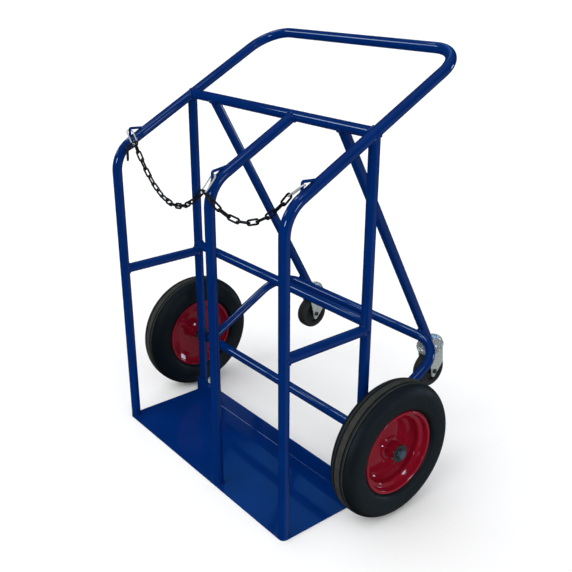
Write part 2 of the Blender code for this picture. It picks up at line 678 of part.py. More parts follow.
def make_castor(side, sign, root):
    """Make one castor under its strut."""
    foot, lean = strut_foot()
    swivel_at = Vector((sign * STRUT_X, foot[0], foot[1]))
    swivel_at += CASTOR_CUP_H * Vector((0, math.sin(lean), -math.cos(lean)))
    swivel = empty("castor_swivel_" + side, root, swivel_at, (lean, 0, 0))

    bolt = KING_BOLT_R
    cup = [
        (bolt + GAP, CASTOR_CUP_H - GAP),
        (TUBE_R + CASTOR_HEAD_WALL, CASTOR_CUP_H - GAP),
        (TUBE_R + CASTOR_HEAD_WALL, CASTOR_CUP_H / 2),
        (CASTOR_CUP_R - CASTOR_HEAD_WALL / 2, CASTOR_CUP_H / 3),
        (CASTOR_CUP_R, CASTOR_CUP_H / 4),
        (CASTOR_CUP_R, GAP),
        (bolt + GAP, GAP),
    ]
    piece("castor_cup_" + side, turned(cup, CASTOR_SEGMENTS), "zinc", swivel)
    plug = TUBE_BORE_R - GAP
    stem = [
        (plug, CASTOR_CUP_H + STEM_LENGTH),
        (plug, CASTOR_CUP_H),
        (bolt, CASTOR_CUP_H),
        (bolt, -CASTOR_HEAD_WALL - KING_NUT_H),
    ]
    piece("castor_stem_" + side, turned(stem, HUB_SEGMENTS, False), "steel", swivel)
    nut_at = Matrix.Translation((0, 0, -CASTOR_HEAD_WALL - GAP - KING_NUT_H))
    nut = hexagon_nut(KING_NUT_R, KING_NUT_H, (bolt + GAP) / math.cos(math.pi / BOLT_SEGMENTS))
    piece("castor_king_nut_" + side, nut, "zinc", swivel, nut_at)
    make_fork(side, swivel)

    axle = empty("castor_axle_" + side, swivel, (0, -CASTOR_TRAIL, -CASTOR_DROP), (0, math.pi / 2, 0))
    width = CASTOR_WHEEL_HALF_WIDTH
    core_r = CASTOR_CORE_R
    crown = (CASTOR_WHEEL_R - core_r) / 3
    tyre = [
        (core_r, width - crown / 3),
        (core_r + crown, width),
        (core_r + 2 * crown, width),
        (CASTOR_WHEEL_R, width - crown),
    ]
    tyre += [(radius, -height) for radius, height in tyre[::-1]]
    piece("castor_tyre_" + side, turned(tyre, CASTOR_SEGMENTS), "castor_rubber", axle)

    hub_half = FORK_HALF_WIDTH - FORK_T - GAP
    bore = CASTOR_AXLE_R + GAP
    rim_in = core_r - crown
    core = [
        (bore, hub_half),
        (CASTOR_HUB_R, hub_half),
        (CASTOR_HUB_R, width / 2),
        (rim_in, width / 2),
        (rim_in, width - crown / 2),
        (core_r - GAP, width - crown / 2),
    ]
    core += [(radius, -height) for radius, height in core[::-1]]
    piece("castor_core_" + side, turned(core, CASTOR_SEGMENTS), "core_plastic", axle)

    head_at = Matrix.Translation((0, 0, FORK_HALF_WIDTH + GAP))
    shank = 2 * FORK_HALF_WIDTH + CASTOR_NUT_H + 2 * GAP
    bolt = hexagon_bolt(CASTOR_BOLT_HEAD_R, CASTOR_BOLT_HEAD_H, CASTOR_AXLE_R, shank)
    piece("castor_bolt_" + side, bolt, "zinc", axle, head_at)
    nut_at = Matrix.Translation((0, 0, -FORK_HALF_WIDTH - GAP - CASTOR_NUT_H))
    nut = hexagon_nut(CASTOR_BOLT_HEAD_R, CASTOR_NUT_H, bore / math.cos(math.pi / BOLT_SEGMENTS))
    piece("castor_nut_" + side, nut, "zinc", axle, nut_at)


def sag_direction(start, end, sag, at_start):
    """Return the direction of a hanging run at one of its ends, pointing from start to end."""
    slope = -4 * sag if at_start else 4 * sag
    return (end - start + UP * slope).normalized()


class Hook:
    """Place of one snap hook: a flat wire loop hung on an eye and pulled along a direction."""

    def __init__(self, hang, pull, across):
        self.pull = pull
        self.across = (across - pull * across.dot(pull)).normalized()
        self.normal = self.across.cross(-pull)
        lever = abs(pull.dot(UP.cross(self.across).normalized()))
        self.top = hang - pull * ((EYE_ROD_R + HOOK_WIRE_R + GAP) / lever)
        self.bow = self.top + pull * (HOOK_LENGTH - 2 * HOOK_WIRE_R)

    def matrix(self):
        """Return the frame at the bow: X across, Y towards the eye."""
        axes = Matrix((self.across, -self.pull, self.normal)).transposed()
        return Matrix.Translation(self.bow) @ axes.to_4x4()

    def corner(self, sign):
        """Return the point halfway round the bow where a link of a side span hangs."""
        outward = (self.across * sign + self.pull).normalized()
        return self.bow + (outward - self.pull) * HOOK_HALF_WIDTH

    def corner_direction(self, sign):
        """Return the direction of the wire at that point."""
        return (self.across - self.pull * sign).normalized()


def side_pull(eye, towards):
    """Return the direction of a side hook, which rests on the shoulder of its tube."""
    level = towards - eye
    level.z = 0
    return level.normalized() * math.cos(SIDE_HOOK_DROP) - UP * math.sin(SIDE_HOOK_DROP)


def place_hooks():
    """Return the three hooks, left, middle and right."""
    lean = MIDDLE_HOOK_LEAN
    pull = Vector((0, -math.sin(lean), -math.cos(lean)))
    middle = Hook(eye_point(POST_X, MIDDLE_EYE_Y, MIDDLE_HANG), pull, Vector((1, 0, 0)))
    left_eye = eye_point(-HALF_WIDTH, SIDE_EYE_Y, SIDE_HANG)
    right_eye = eye_point(HALF_WIDTH, SIDE_EYE_Y, SIDE_HANG)
    left_pull = side_pull(left_eye, middle.corner(-1))
    right_pull = side_pull(right_eye, middle.corner(1))
    left = Hook(left_eye, left_pull, left_pull.cross(UP))
    right = Hook(right_eye, right_pull, right_pull.cross(UP))
    return left, middle, right


def gate_profile():
    """Return the section of a gate that turns on its round lower end."""
    profile = []
    for step in range(1, WIRE_BEND_STEPS + 1):
        angle = math.pi / 2 * step / WIRE_BEND_STEPS
        profile.append((HOOK_WIRE_R * math.sin(angle), -HOOK_WIRE_R * math.cos(angle)))
    profile.append((HOOK_WIRE_R, HOOK_GATE_LENGTH - HOOK_WIRE_R - 2 * GAP))
    return profile


def make_hook(name, hook, root):
    """Make the wire loop of a snap hook and the gate that closes it."""
    half = HOOK_HALF_WIDTH
    length = HOOK_LENGTH - 2 * HOOK_WIRE_R
    gate_end = HOOK_GATE_START + HOOK_GATE_LENGTH
    points = [
        (-half, gate_end, 0),
        (-half, length, 0),
        (half, length, 0),
        (half, 0, 0),
        (-half, 0, 0),
        (-half, HOOK_GATE_START, 0),
    ]
    path = rounded_path(points, half - GAP, WIRE_BEND_STEPS)
    wire = skin(path_rings(path, HOOK_WIRE_R, WIRE_SIDES), False)
    piece("snap_hook_" + name, wire, "zinc", root, hook.matrix())
    along_hook = Matrix.Rotation(-math.pi / 2, 4, "X")
    hinge = hook.matrix() @ Matrix.Translation((-half, HOOK_GATE_START + GAP + HOOK_WIRE_R, 0))
    gate = turned(gate_profile(), WIRE_SIDES, False)
    piece("hook_gate_" + name, gate, "zinc", root, hinge @ along_hook)


def hanging_points(start, end, sag, count):
    """Return points spaced evenly along a hanging run, and the run's length."""
    fine = []
    for index in range(CHAIN_SAMPLES + 1):
        share = index / CHAIN_SAMPLES
        fine.append(start.lerp(end, share) - UP * (4 * sag * share * (1 - share)))
    travelled = [0.0]
    for first, second in zip(fine, fine[1:]):
        travelled.append(travelled[-1] + (second - first).length)
    points = []
    index = 0
    for step in range(count + 1):
        target = travelled[-1] * step / count
        while index < CHAIN_SAMPLES - 1 and travelled[index + 1] < target:
            index += 1
        part = (target - travelled[index]) / (travelled[index + 1] - travelled[index])
        points.append(fine[index].lerp(fine[index + 1], part))
    return points, travelled[-1]


def chain_joints(start, end, sag):
    """Return the points where the links of a span meet, for a whole number of links."""
    length = hanging_points(start, end, sag, 1)[1]
    count = max(round(length / LINK_PITCH), math.floor((end - start).length / LINK_PITCH) + 1)
    low = 0.0
    high = length
    for trial in range(60):
        middle = (low + high) / 2
        if hanging_points(start, end, middle, 1)[1] < count * LINK_PITCH:
            low = middle
        else:
            high = middle
    return hanging_points(start, end, low, count)[0]


def link_rings(first, second, normal):
    """Return the rings of one link between two joints of the chain."""
    along = (second - first).normalized()
    centre = (first + second) / 2
    across = normal.cross(along)
    radius = LINK_WIDTH / 2 - LINK_WIRE_R
    reach = LINK_INNER_LENGTH / 2 + LINK_WIRE_R - radius
    rings = []
    for end in (1, -1):
        for step in range(LINK_END_STEPS + 1):
            angle = math.pi * step / LINK_END_STEPS - math.pi / 2
            outward = end * (along * math.cos(angle) + across * math.sin(angle))
            point = centre + along * (end * reach) + outward * radius
            rings.append(circle(point, normal, outward, LINK_WIRE_R, LINK_SIDES))
    return rings


def level_and_raised(along):
    """Return two unit vectors square to a link: a level one and one that points up."""
    level = along.cross(UP).normalized()
    return level, level.cross(along).normalized()


def link_normal(along, roll):
    """Return the normal of a link that is rolled by an angle from standing upright."""
    level, raised = level_and_raised(along)
    return level * math.cos(roll) + raised * math.sin(roll)


def link_roll(along, normal):
    """Return the roll that brings a link's normal nearest to a wanted direction."""
    level, raised = level_and_raised(along)
    return math.atan2(normal.dot(raised), normal.dot(level))


def joined_rings(links):
    """Return one bmesh that holds several closed links."""
    bm = bmesh.new()
    for rings in links:
        made = [[bm.verts.new(point) for point in ring] for ring in rings]
        for first, second in zip(made, made[1:] + made[:1]):
            stitch(bm, first, second)
    return bm


def make_chain(name, start, end, sag, first_normal, last_normal, root):
    """Make one hanging span of chain, its links joined where they bear on each other."""
    joints = chain_joints(start, end, sag)
    local = [joint - start for joint in joints]
    count = len(joints) - 1
    first_roll = link_roll(local[1] - local[0], first_normal)
    last_roll = link_roll(local[-1] - local[-2], last_normal)
    wanted = last_roll - first_roll - math.pi / 2 * (count - 1)
    twist = (wanted + math.pi / 2) % math.pi - math.pi / 2
    links = []
    for index in range(count):
        roll = first_roll + index * (math.pi / 2 + twist / (count - 1))
        normal = link_normal(local[index + 1] - local[index], roll)
        links.append(link_rings(local[index], local[index + 1], normal))
    place = Matrix.Translation(start)
    span = piece(name, joined_rings(links[0::2]), "black_chain", root, place)
    others = helper(name + "_other_links", joined_rings(links[1::2]), root)
    others.matrix_local = place
    combine(span, others, "UNION")


def chain_ends():
    """Return the end joints of both spans with the link normals there."""
    left, middle, right = place_hooks()
    hold = HOOK_WIRE_R + HOOK_PLAY + LINK_BITE / 2
    spans = {}
    corner = middle.corner(-1)
    leaving = sag_direction(left.bow, corner, LEFT_SAG, True)
    arriving = sag_direction(left.bow, corner, LEFT_SAG, False)
    held = middle.corner_direction(-1)
    spans["left"] = (left.bow - leaving * hold, corner + arriving * hold, left.across, held)
    corner = middle.corner(1)
    leaving = sag_direction(corner, right.bow, RIGHT_SAG, True)
    arriving = sag_direction(corner, right.bow, RIGHT_SAG, False)
    held = middle.corner_direction(1)
    spans["right"] = (corner - leaving * hold, right.bow + arriving * hold, held, right.across)
    return spans


def make_restraint(root):
    """Make the eyes, the snap hooks and the two spans of chain."""
    make_eye("eye_left", -HALF_WIDTH, SIDE_EYE_Y, root)
    make_eye("eye_middle", POST_X, MIDDLE_EYE_Y, root)
    make_eye("eye_right", HALF_WIDTH, SIDE_EYE_Y, root)
    for name, hook in zip(("left", "middle", "right"), place_hooks()):
        make_hook(name, hook, root)
    spans = chain_ends()
    start, end, first_normal, last_normal = spans["left"]
    make_chain("chain_left", start, end, LEFT_SAG, first_normal, last_normal, root)
    start, end, first_normal, last_normal = spans["right"]
    make_chain("chain_right", start, end, RIGHT_SAG, first_normal, last_normal, root)


def main():
    """Build the cart."""
    clear_scene()
    root = empty("cart", None, (0, 0, 0))
    make_frame(root)
    make_toe_plate(root)
    make_axle(root)
    for side, sign in (("left", -1), ("right", 1)):
        make_wheel(side, sign, root)
        make_castor(side, sign, root)
    make_restraint(root)


main()
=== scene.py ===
"""Looks of the gas cylinder cart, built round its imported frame.

Metres, +Z up, X to the right of the cart, the loading side at -Y and the floor at zero. Places come from
the frame's joints and boxes. Most sizes below repeat the part's. The chain's wire and the tread's grooves
are a little larger than there, and the other sizes belong to details of the surface.
"""
import json
import math

import bmesh
import bpy
from mathutils import Matrix, Vector
from mathutils.geometry import convex_hull_2d


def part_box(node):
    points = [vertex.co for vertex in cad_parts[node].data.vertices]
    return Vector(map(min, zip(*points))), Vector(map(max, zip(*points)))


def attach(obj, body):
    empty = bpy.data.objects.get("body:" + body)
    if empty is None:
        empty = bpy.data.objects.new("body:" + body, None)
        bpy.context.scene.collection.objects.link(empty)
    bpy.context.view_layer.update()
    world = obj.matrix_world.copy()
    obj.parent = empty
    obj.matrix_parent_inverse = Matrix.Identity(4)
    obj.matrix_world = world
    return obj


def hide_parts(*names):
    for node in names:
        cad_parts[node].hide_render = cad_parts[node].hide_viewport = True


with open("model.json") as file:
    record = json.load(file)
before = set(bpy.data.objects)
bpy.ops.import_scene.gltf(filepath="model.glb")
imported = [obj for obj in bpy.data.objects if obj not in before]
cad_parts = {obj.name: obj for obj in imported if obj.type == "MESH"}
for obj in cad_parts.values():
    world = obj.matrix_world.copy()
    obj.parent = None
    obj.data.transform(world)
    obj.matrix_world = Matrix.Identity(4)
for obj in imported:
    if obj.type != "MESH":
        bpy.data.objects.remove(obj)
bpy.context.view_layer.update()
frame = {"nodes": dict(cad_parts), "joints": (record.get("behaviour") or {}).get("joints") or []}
NODES = frame["nodes"]
JOINTS = {joint["name"]: joint for joint in frame["joints"]}
UP = Vector((0, 0, 1))
RIGHT = Vector((1, 0, 0))
REARWARD = Vector((0, 1, 0))

# Camera that took the photograph
CAMERA_AT = Vector((1.7692, -1.1121, 1.4711))
CAMERA_AZIMUTH = math.radians(51.48)
CAMERA_ELEVATION = math.radians(22.49)
CAMERA_ROLL = math.radians(-0.10)
IMAGE_PX = 572
FOCAL_PX = 792.38
CENTRE_PX = (275.02, 288.57)
SENSOR_MM = 36.0

# Frame tubes and welds
GAP = 0.0003
TUBE_R = 0.015
TUBE_WALL = 0.002
BEND_R = 0.100
BEAD_R = 0.0036
BEAD_RIPPLE = 0.08
BEAD_PITCH = 0.0035
SMALL_BEAD_R = 0.0018
SEAM_BEAD_R = BEAD_R * 0.8
CONTACT_BEAD_RING = 0.0095
BEAD_END_SHARE = 0.35
BEAD_END_TAPER = 4
FOOT_ARCS = [(-60, 150), (30, 240), (-50, 230)]  # degrees, at the left, right and middle foot

# Toe plate
PLATE_T = 0.004
PLATE_BEVEL = 0.0007
PLATE_BEVEL_STEPS = 3
UPSTAND_Z = 0.059

# Chain eyes
EYE_ROD_R = 0.004
EYE_BEND_R = 0.005
EYE_HEIGHT = 0.024
EYE_RUN = 0.040

# Large wheels, with pairs for points of the tyre's section: a step in radius and one in width
TYRE_R = 0.2055
TYRE_HALF_WIDTH = 0.0464
TREAD_BAND_HALF = 0.009
TREAD_GROOVE_WIDTH = 0.004
TREAD_GROOVE_DEPTH = 0.0050
TREAD_GROOVE_DRAFT = 0.0006
TREAD_FILLET = 0.0007
SHOULDER_RIB = 0.0205
SHOULDER_DROP = 0.0005
RIDGE_STEP = (0.0022, 0.0005)
RIDGE_FOOT = (0.0024, 0.0018)
WALL_ANGLES = range(24, 91, 6)
WALL_FOOT = [(0.0290, 0.0003), (0.0190, 0.0018), (0.0100, 0.0048)]
BEAD_TURN = [(0.0045, 0.0015), (0.0014, -0.0045)]
BEAD_SEAT = (0.0052, 0.0150)
CASING = [(0.0400, 0.0100), (0.0150, 0.0200)]
DUST_DEPTH = 0.0022
# Share of the band's grey painted on the side ribs
RIB_GREY_SHARE = 0.25
# Half the width of the thin pale line painted along each shoulder ridge, a painted highlight
RIDGE_HIGHLIGHT_HALF = 0.0011
RIM_LIP_R = 0.1273
RIM_HALF_WIDTH = 0.0355
RIM_SEAT_R = 0.1194
RIM_WELL_R = 0.1044
RIM_WALL = 0.003
RIM_DISC_R = 0.0858
RIM_DISC_INSET = 0.0045
RIM_DISC_DROP = 0.0135
RIM_FILLET = 0.0024
HUB_R = 0.025
HUB_ROOT_R = 0.036
HUB_HALF_LENGTH = 0.035
HUB_BORE_R = 0.0171
WASHER_R = 0.0268
WASHER_T = 0.003
WASHER_EDGE_R = 0.0008
HEX_CHAMFER = 0.95
AXLE_R = 0.0125
END_BOLT_R = 0.008
END_BOLT_LENGTH = 0.028
END_BOLT_HEAD_R = 0.0139
END_BOLT_HEAD_H = 0.011

# Castors
CASTOR_HEAD_R = 0.043
CASTOR_HEAD_H = 0.013
CASTOR_HEAD_WALL = 0.004
CASTOR_HEAD_FILLET = 0.0012
CASTOR_CUP_R = 0.032
CASTOR_CUP_H = 0.0165
CASTOR_CUP_FILLET = 0.0016
CASTOR_DROP = 0.0815
CASTOR_TRAIL = 0.0415
FORK_HALF_WIDTH = 0.0256
FORK_T = 0.003
FORK_CORNER_R = 0.007
FORK_SHOULDER_DROP = 0.022
FORK_HEEL_LIFT = 0.005
FORK_TIP_TRAIL = 0.0075
FORK_TIP_DROP = 0.0135
FORK_EMBOSS = 0.0007
FORK_EDGE = 0.975
FORK_PANEL = (0.80, 0.76, 0.70)
KING_BOLT_R = 0.009
KING_NUT_R = 0.014
KING_NUT_H = 0.007
CASTOR_WHEEL_R = 0.0575
CASTOR_WHEEL_HALF_WIDTH = 0.019
CASTOR_TYRE_FILLET = 0.004
CASTOR_CORE_R = 0.041
CASTOR_CORE_DRAFT = 0.001
CASTOR_CORE_FILLET = 0.0012
CASTOR_HUB_R = 0.012
CASTOR_AXLE_R = 0.005
CASTOR_BOLT_HEAD_R = 0.0085
CASTOR_BOLT_HEAD_H = 0.005
CASTOR_NUT_H = 0.006

# Snap hooks and chain
HOOK_WIRE_R = 0.002
HOOK_HALF_WIDTH = 0.0095
HOOK_LENGTH = 0.056
HOOK_GATE_START = 0.012
HOOK_GATE_LENGTH = 0.020
HOOK_GATE_TIP_R = 0.0004
HOOK_GATE_FILLET = 0.0006
LINK_WIRE_R = 0.0028
LINK_PITCH = 0.033
LINK_WIDTH = 0.018
LINK_COUNTS = {"left": 16, "right": 10}
SPAN_CHORDS = {"left": 0.4706, "right": 0.2816}
LOOSE_WAY = Vector((-0.24, -0.85, -0.47))
LOOSE_DROP = Vector((0.04, -0.06, -1.0))
LOOSE_NORMAL = Vector((0.62, 0.78, 0.0))

# Surfaces: scale and detail of the noise in their tone, shine and grain, and how far it varies them
NOISE_RANGE = (0.3, 0.7)
PAINT_NOISE = [(7, 3), (60, 2), (260, 2)]
PAINT_SHINE = (0.6, 1.4)
PAINT_BODY_ROUGH = 0.6
PAINT_GRAIN = 0.00003
METAL_NOISE = [(1, 4), (3, 3), (6, 3)]
METAL_SHINE = (0.75, 1.3)
METAL_GRAIN = 0.00004
RUBBER_NOISE = [(14, 4), (90, 4), (700, 3)]
RUBBER_SHINE = (0.85, 1.15)
RUBBER_GRAIN = 0.00006
TYRE_NOISE = [(9, 4), (45, 5), (70, 4), (600, 3)]
TYRE_GLOSS = (0.48, 0.60)
# Roughness added where the tyre is painted pale: the dusty band, the ribs and the painted highlight line
TYRE_PALE_GLOSS = 0.2
TYRE_SPECULAR = 0.35
TYRE_GRAIN = 0.00007
WALL_DEEP = (0.0014, 0.0040, 0.0064)
WALL_LIGHT = (0.0028, 0.0060, 0.0088)
TREAD_DEEP = (0.023, 0.024, 0.020)
TREAD_LIGHT = (0.037, 0.038, 0.033)
FLOOR_DEEP = (0.92, 0.92, 0.92)
FLOOR_LIGHT = (0.94, 0.94, 0.94)
FLOOR_NOISE = (0.6, 2)
FLOOR_ROUGH = 0.9
FLOOR_HALF = 80

# Light: each lamp's azimuth from the loading side, height, width, strength, and colour if only gloss shows it
SKY_STOPS = [
    (0.00, (0.004, 0.004, 0.004)),
    (0.50, (0.006, 0.006, 0.006)),
    (0.75, (0.014, 0.016, 0.018)),
    (0.90, (0.07, 0.08, 0.09)),
    (1.00, (0.15, 0.17, 0.19)),
]
BACKDROP = (1.0, 1.0, 1.0)
DAYLIGHT = (0.66, 0.82, 1.0)
SKYLIGHT = (0.10, 0.43, 1.0)
FLOOR_GLOW = (0.80, 0.92, 1.0)
LIGHTS = {
    "ceiling": (0, 90, 170, 1.75, None),
    "soft_key": (8, 45, 45, 1.2, None),
    "side_light": (78, 30, 60, 1.0, None),
    "soft_fill": (300, 40, 90, 0.7, None),
    "front_window": (24, 16, 12, 0.60, DAYLIGHT),
    "left_window": (307, 27, 11, 0.24, DAYLIGHT),
    "left_lamp": (283, 51, 7, 0.14, DAYLIGHT),
    "upper_lamp": (291, 62, 7, 0.12, DAYLIGHT),
    "top_lamp": (78, 62, 10, 0.12, DAYLIGHT),
    "right_window": (107, 4, 9, 0.22, DAYLIGHT),
    "back_window": (160, 3, 12, 0.30, DAYLIGHT),
    "far_window": (226, 44, 24, 0.13, SKYLIGHT),
    "floor_glow": (128, -34, 84, 0.30, FLOOR_GLOW),
}

# How finely round shapes are divided
TUBE_SIDES = 48
BEND_STEPS = 20
BEAD_SIDES = 10
BEAD_MIN_POINTS = 24
RIPPLE_POINTS = 4
FOOT_ARC_STEPS = 40
CONTACT_RING_STEPS = 48
SEAM_STEPS = 30
ROD_SIDES = 20
WIRE_SIDES = 14
WIRE_BEND_STEPS = 8
LINK_SIDES = 12
LINK_END_STEPS = 10
WHEEL_SEGMENTS = 144
SMALL_SEGMENTS = 72
HEX_SEGMENTS = 48
FILLET_STEPS = 5
FILLET_ROOM = 0.48
CURVE_STEPS = 6
CHAIN_SAMPLES = 400
SAG_TRIALS = 60
SIDEWAYS = 0.7
SMOOTH_ANGLE = math.radians(40)


def joint_at(name):
    """Return the place of a joint."""
    return Vector(JOINTS[name]["pos_m"])


def joint_axis(name):
    """Return the axis of a joint."""
    return Vector(JOINTS[name]["axis"]).normalized()


def middle_of(node):
    """Return the middle of a node's box."""
    low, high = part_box(node)
    return (low + high) / 2


# Where the tubes run
HOOP_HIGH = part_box("hoop")[1]
HALF_WIDTH = HOOP_HIGH.x - TUBE_R
SIDES = (("left", -HALF_WIDTH), ("right", HALF_WIDTH))
HANDLE_Y = HOOP_HIGH.y - TUBE_R
HANDLE_Z = HOOP_HIGH.z - TUBE_R
REAR_Y, BACK_Z = middle_of("upper_cross_bar").yz
SLOPE = math.atan2(HANDLE_Z - BACK_Z, HANDLE_Y - REAR_Y)
BEND_Z = BACK_Z - REAR_Y * math.tan(SLOPE)
POST_X = middle_of("middle_post").x
MID_BAR_Z = middle_of("mid_cross_bar").z
SIDE_RAIL_Z = middle_of("side_rail_left").z
AXLE = middle_of("axle_tube")
AXLE_TUBE_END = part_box("axle_tube")[1].x
CASTOR_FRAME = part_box("castor_frame")[1] - Vector((TUBE_R, TUBE_R, TUBE_R))
FOOT_Z = PLATE_T + GAP


# Shapes
def angles(count):
    """Return a number of angles spaced evenly round a turn."""
    return [2 * math.pi * index / count for index in range(count)]


def circle(centre, across, along, radius, sides):
    """Return the points of a circle in the plane of two unit vectors."""
    points = []
    for angle in angles(sides):
        points.append(centre + across * (radius * math.cos(angle)) + along * (radius * math.sin(angle)))
    return points


def add_skin(bm, rings, loop):
    """Add a closed body over rings of equal counts, as a loop of rings or capped at both ends."""
    made = [[bm.verts.new(point) for point in ring] for ring in rings]
    pairs = list(zip(made, made[1:]))
    if loop:
        pairs.append((made[-1], made[0]))
    for first, second in pairs:
        for index in range(len(first)):
            after = (index + 1) % len(first)
            bm.faces.new((first[index], first[after], second[after], second[index]))
    if not loop:
        bm.faces.new(made[0])
        bm.faces.new(made[-1])


def skin(rings, loop):
    """Return a new bmesh with one skinned body."""
    bm = bmesh.new()
    add_skin(bm, rings, loop)
    return bm


def turned(profile, segments, loop=True):
    """Return a body turned round Z from points of radius and height."""
    rings = []
    for radius, height in profile:
        rings.append(circle(Vector((0, 0, height)), RIGHT, REARWARD, radius, segments))
    return skin(rings, loop)


def rounded_path(points, radius, steps):
    """Return stations, each a point and a direction, along straight runs joined by round bends."""
    points = [Vector(point) for point in points]
    path = [(points[0], (points[1] - points[0]).normalized())]
    for before, corner, after in zip(points, points[1:], points[2:]):
        incoming = (corner - before).normalized()
        outgoing = (after - corner).normalized()
        turn = incoming.angle(outgoing)
        axis = incoming.cross(outgoing).normalized()
        start = corner - incoming * (radius * math.tan(turn / 2))
        centre = start + axis.cross(incoming) * radius
        for step in range(steps + 1):
            spin = Matrix.Rotation(turn * step / steps, 3, axis)
            path.append((centre + spin @ (start - centre), spin @ incoming))
    path.append((points[-1], (points[-1] - points[-2]).normalized()))
    return path


def path_rings(path, radius, sides):
    """Return one ring of points for each station, without twist."""
    across = REARWARD if abs(path[0][1].x) > SIDEWAYS else RIGHT
    rings = []
    for point, direction in path:
        across = (across - direction * across.dot(direction)).normalized()
        rings.append(circle(point, across, direction.cross(across), radius, sides))
    return rings


def tube(path):
    """Return a frame tube with an open bore."""
    outer = path_rings(path, TUBE_R, TUBE_SIDES)
    bore = path_rings(path, TUBE_R - TUBE_WALL, TUBE_SIDES)
    return skin(outer + bore[::-1], True)


def filleted(points, radius):
    """Return a run of points of radius and height with its inner corners rounded."""
    points = [Vector(point) for point in points]
    run = [points[0]]
    for before, corner, after in zip(points, points[1:], points[2:]):
        incoming = corner - before
        outgoing = after - corner
        turn = incoming.angle(outgoing)
        room = min(incoming.length, outgoing.length) * FILLET_ROOM
        reach = min(radius * math.tan(turn / 2), room)
        start = corner - incoming.normalized() * reach
        end = corner + outgoing.normalized() * reach
        for step in range(FILLET_STEPS + 1):
            share = step / FILLET_STEPS
            run.append(start.lerp(corner, share).lerp(corner.lerp(end, share), share))
    run.append(points[-1])
    return run


def curved(points):
    """Return a smooth run through points of radius and height."""
    points = [Vector(point) for point in points]
    padded = [2 * points[0] - points[1]] + points + [2 * points[-1] - points[-2]]
    run = [points[0]]
    for before, first, second, after in zip(padded, padded[1:], padded[2:], padded[3:]):
        for step in range(1, CURVE_STEPS + 1):
            t = step / CURVE_STEPS
            bend = (2 * before - 5 * first + 4 * second - after) * t * t
            twist = (3 * first - before - 3 * second + after) * t**3
            run.append(0.5 * (2 * first + (second - before) * t + bend + twist))
    return run


def mirrored(half):
    """Return a whole section from its upper half, which runs down from its top."""
    return [tuple(point) for point in half] + [(radius, -height) for radius, height in half[::-1]]


# Pieces
def new_object(name, bm, finish):
    """Turn a bmesh into an object of the scene with one material."""
    mesh = bpy.data.meshes.new(name)
    bm.to_mesh(mesh)
    bm.free()
    mesh.materials.append(finish)
    thing = bpy.data.objects.new(name, mesh)
    bpy.context.scene.collection.objects.link(thing)
    return thing


def piece(name, bm, finish, body, nodes=(), matrix=Matrix(), own_axes=False):
    """Turn a bmesh into a shown piece that rides on a body, stands for nodes and may keep its own axes."""
    if not own_axes:
        bm.transform(matrix)
    bmesh.ops.recalc_face_normals(bm, faces=bm.faces)
    thing = new_object(name, bm, finish)
    thing.data.shade_smooth()
    thing.data.set_sharp_from_angle(angle=SMOOTH_ANGLE)
    if own_axes:
        thing.matrix_world = matrix
    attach(thing, body)
    if nodes:
        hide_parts(*nodes)


def dress(node, finish):
    """Give a node that stays shown its finish."""
    data = NODES[node].data
    data.materials.clear()
    data.materials.append(finish)


# Materials
def new_material(name):
    """Return a material with its node tree, shader and object coordinates."""
    finish = bpy.data.materials.new(name)
    finish.use_nodes = True
    tree = finish.node_tree
    shader = tree.nodes["Principled BSDF"]
    place = tree.nodes.new("ShaderNodeTexCoord").outputs["Object"]
    return finish, tree, shader, place


def noise(tree, place, scale, detail):
    """Return the value of a noise over the surface."""
    texture = tree.nodes.new("ShaderNodeTexNoise")
    texture.inputs["Scale"].default_value = scale
    texture.inputs["Detail"].default_value = detail
    tree.links.new(place, texture.inputs["Vector"])
    return texture.outputs["Fac"]


def ramp(tree, value, stops):
    """Return a colour that follows a value, from stops of position and colour."""
    node = tree.nodes.new("ShaderNodeValToRGB")
    elements = node.color_ramp.elements
    for element, (position, colour) in zip(elements, (stops[0], stops[-1])):
        element.position = position
        element.color = (*colour, 1)
    for position, colour in stops[1:-1]:
        elements.new(position).color = (*colour, 1)
    tree.links.new(value, node.inputs["Fac"])
    return node.outputs["Color"]


def mottled(tree, place, scale_and_detail, deep, light):
    """Return a colour that wanders between two tones over the surface."""
    return ramp(tree, noise(tree, place, *scale_and_detail), list(zip(NOISE_RANGE, (deep, light))))


def spread(tree, value, limits, start, end):
    """Return a value carried from a pair of limits to a start and an end."""
    node = tree.nodes.new("ShaderNodeMapRange")
    for name, number in zip(("From Min", "From Max", "To Min", "To Max"), (*limits, start, end)):
        node.inputs[name].default_value = number
    tree.links.new(value, node.inputs["Value"])
    return node.outputs["Result"]


def bump(tree, shader, value, depth):
    """Raise the surface by a value over a depth."""
    node = tree.nodes.new("ShaderNodeBump")
    node.inputs["Strength"].default_value = 1.0
    node.inputs["Distance"].default_value = depth
    tree.links.new(value, node.inputs["Height"])
    tree.links.new(node.outputs["Normal"], shader.inputs["Normal"])


def surface(name, tones, rough, noises, shares, grain, shiny="Roughness"):
    """Return a material with uneven tone and shine and a fine grain, and its shader."""
    finish, tree, shader, place = new_material(name)
    tree.links.new(mottled(tree, place, noises[0], *tones), shader.inputs["Base Color"])
    limits = [rough * share for share in shares]
    tree.links.new(spread(tree, noise(tree, place, *noises[1]), NOISE_RANGE, *limits), shader.inputs[shiny])
    bump(tree, shader, noise(tree, place, *noises[2]), grain)
    return finish, shader


def paint(name, deep, light, rough, coat):
    """Return a sprayed gloss paint with slight flow marks and uneven depth of colour."""
    coated = "Coat Roughness"
    finish, shader = surface(name, (deep, light), rough, PAINT_NOISE, PAINT_SHINE, PAINT_GRAIN, coated)
    shader.inputs["Roughness"].default_value = PAINT_BODY_ROUGH
    shader.inputs["Specular IOR Level"].default_value = 0.0
    shader.inputs["Coat Weight"].default_value = coat
    return finish


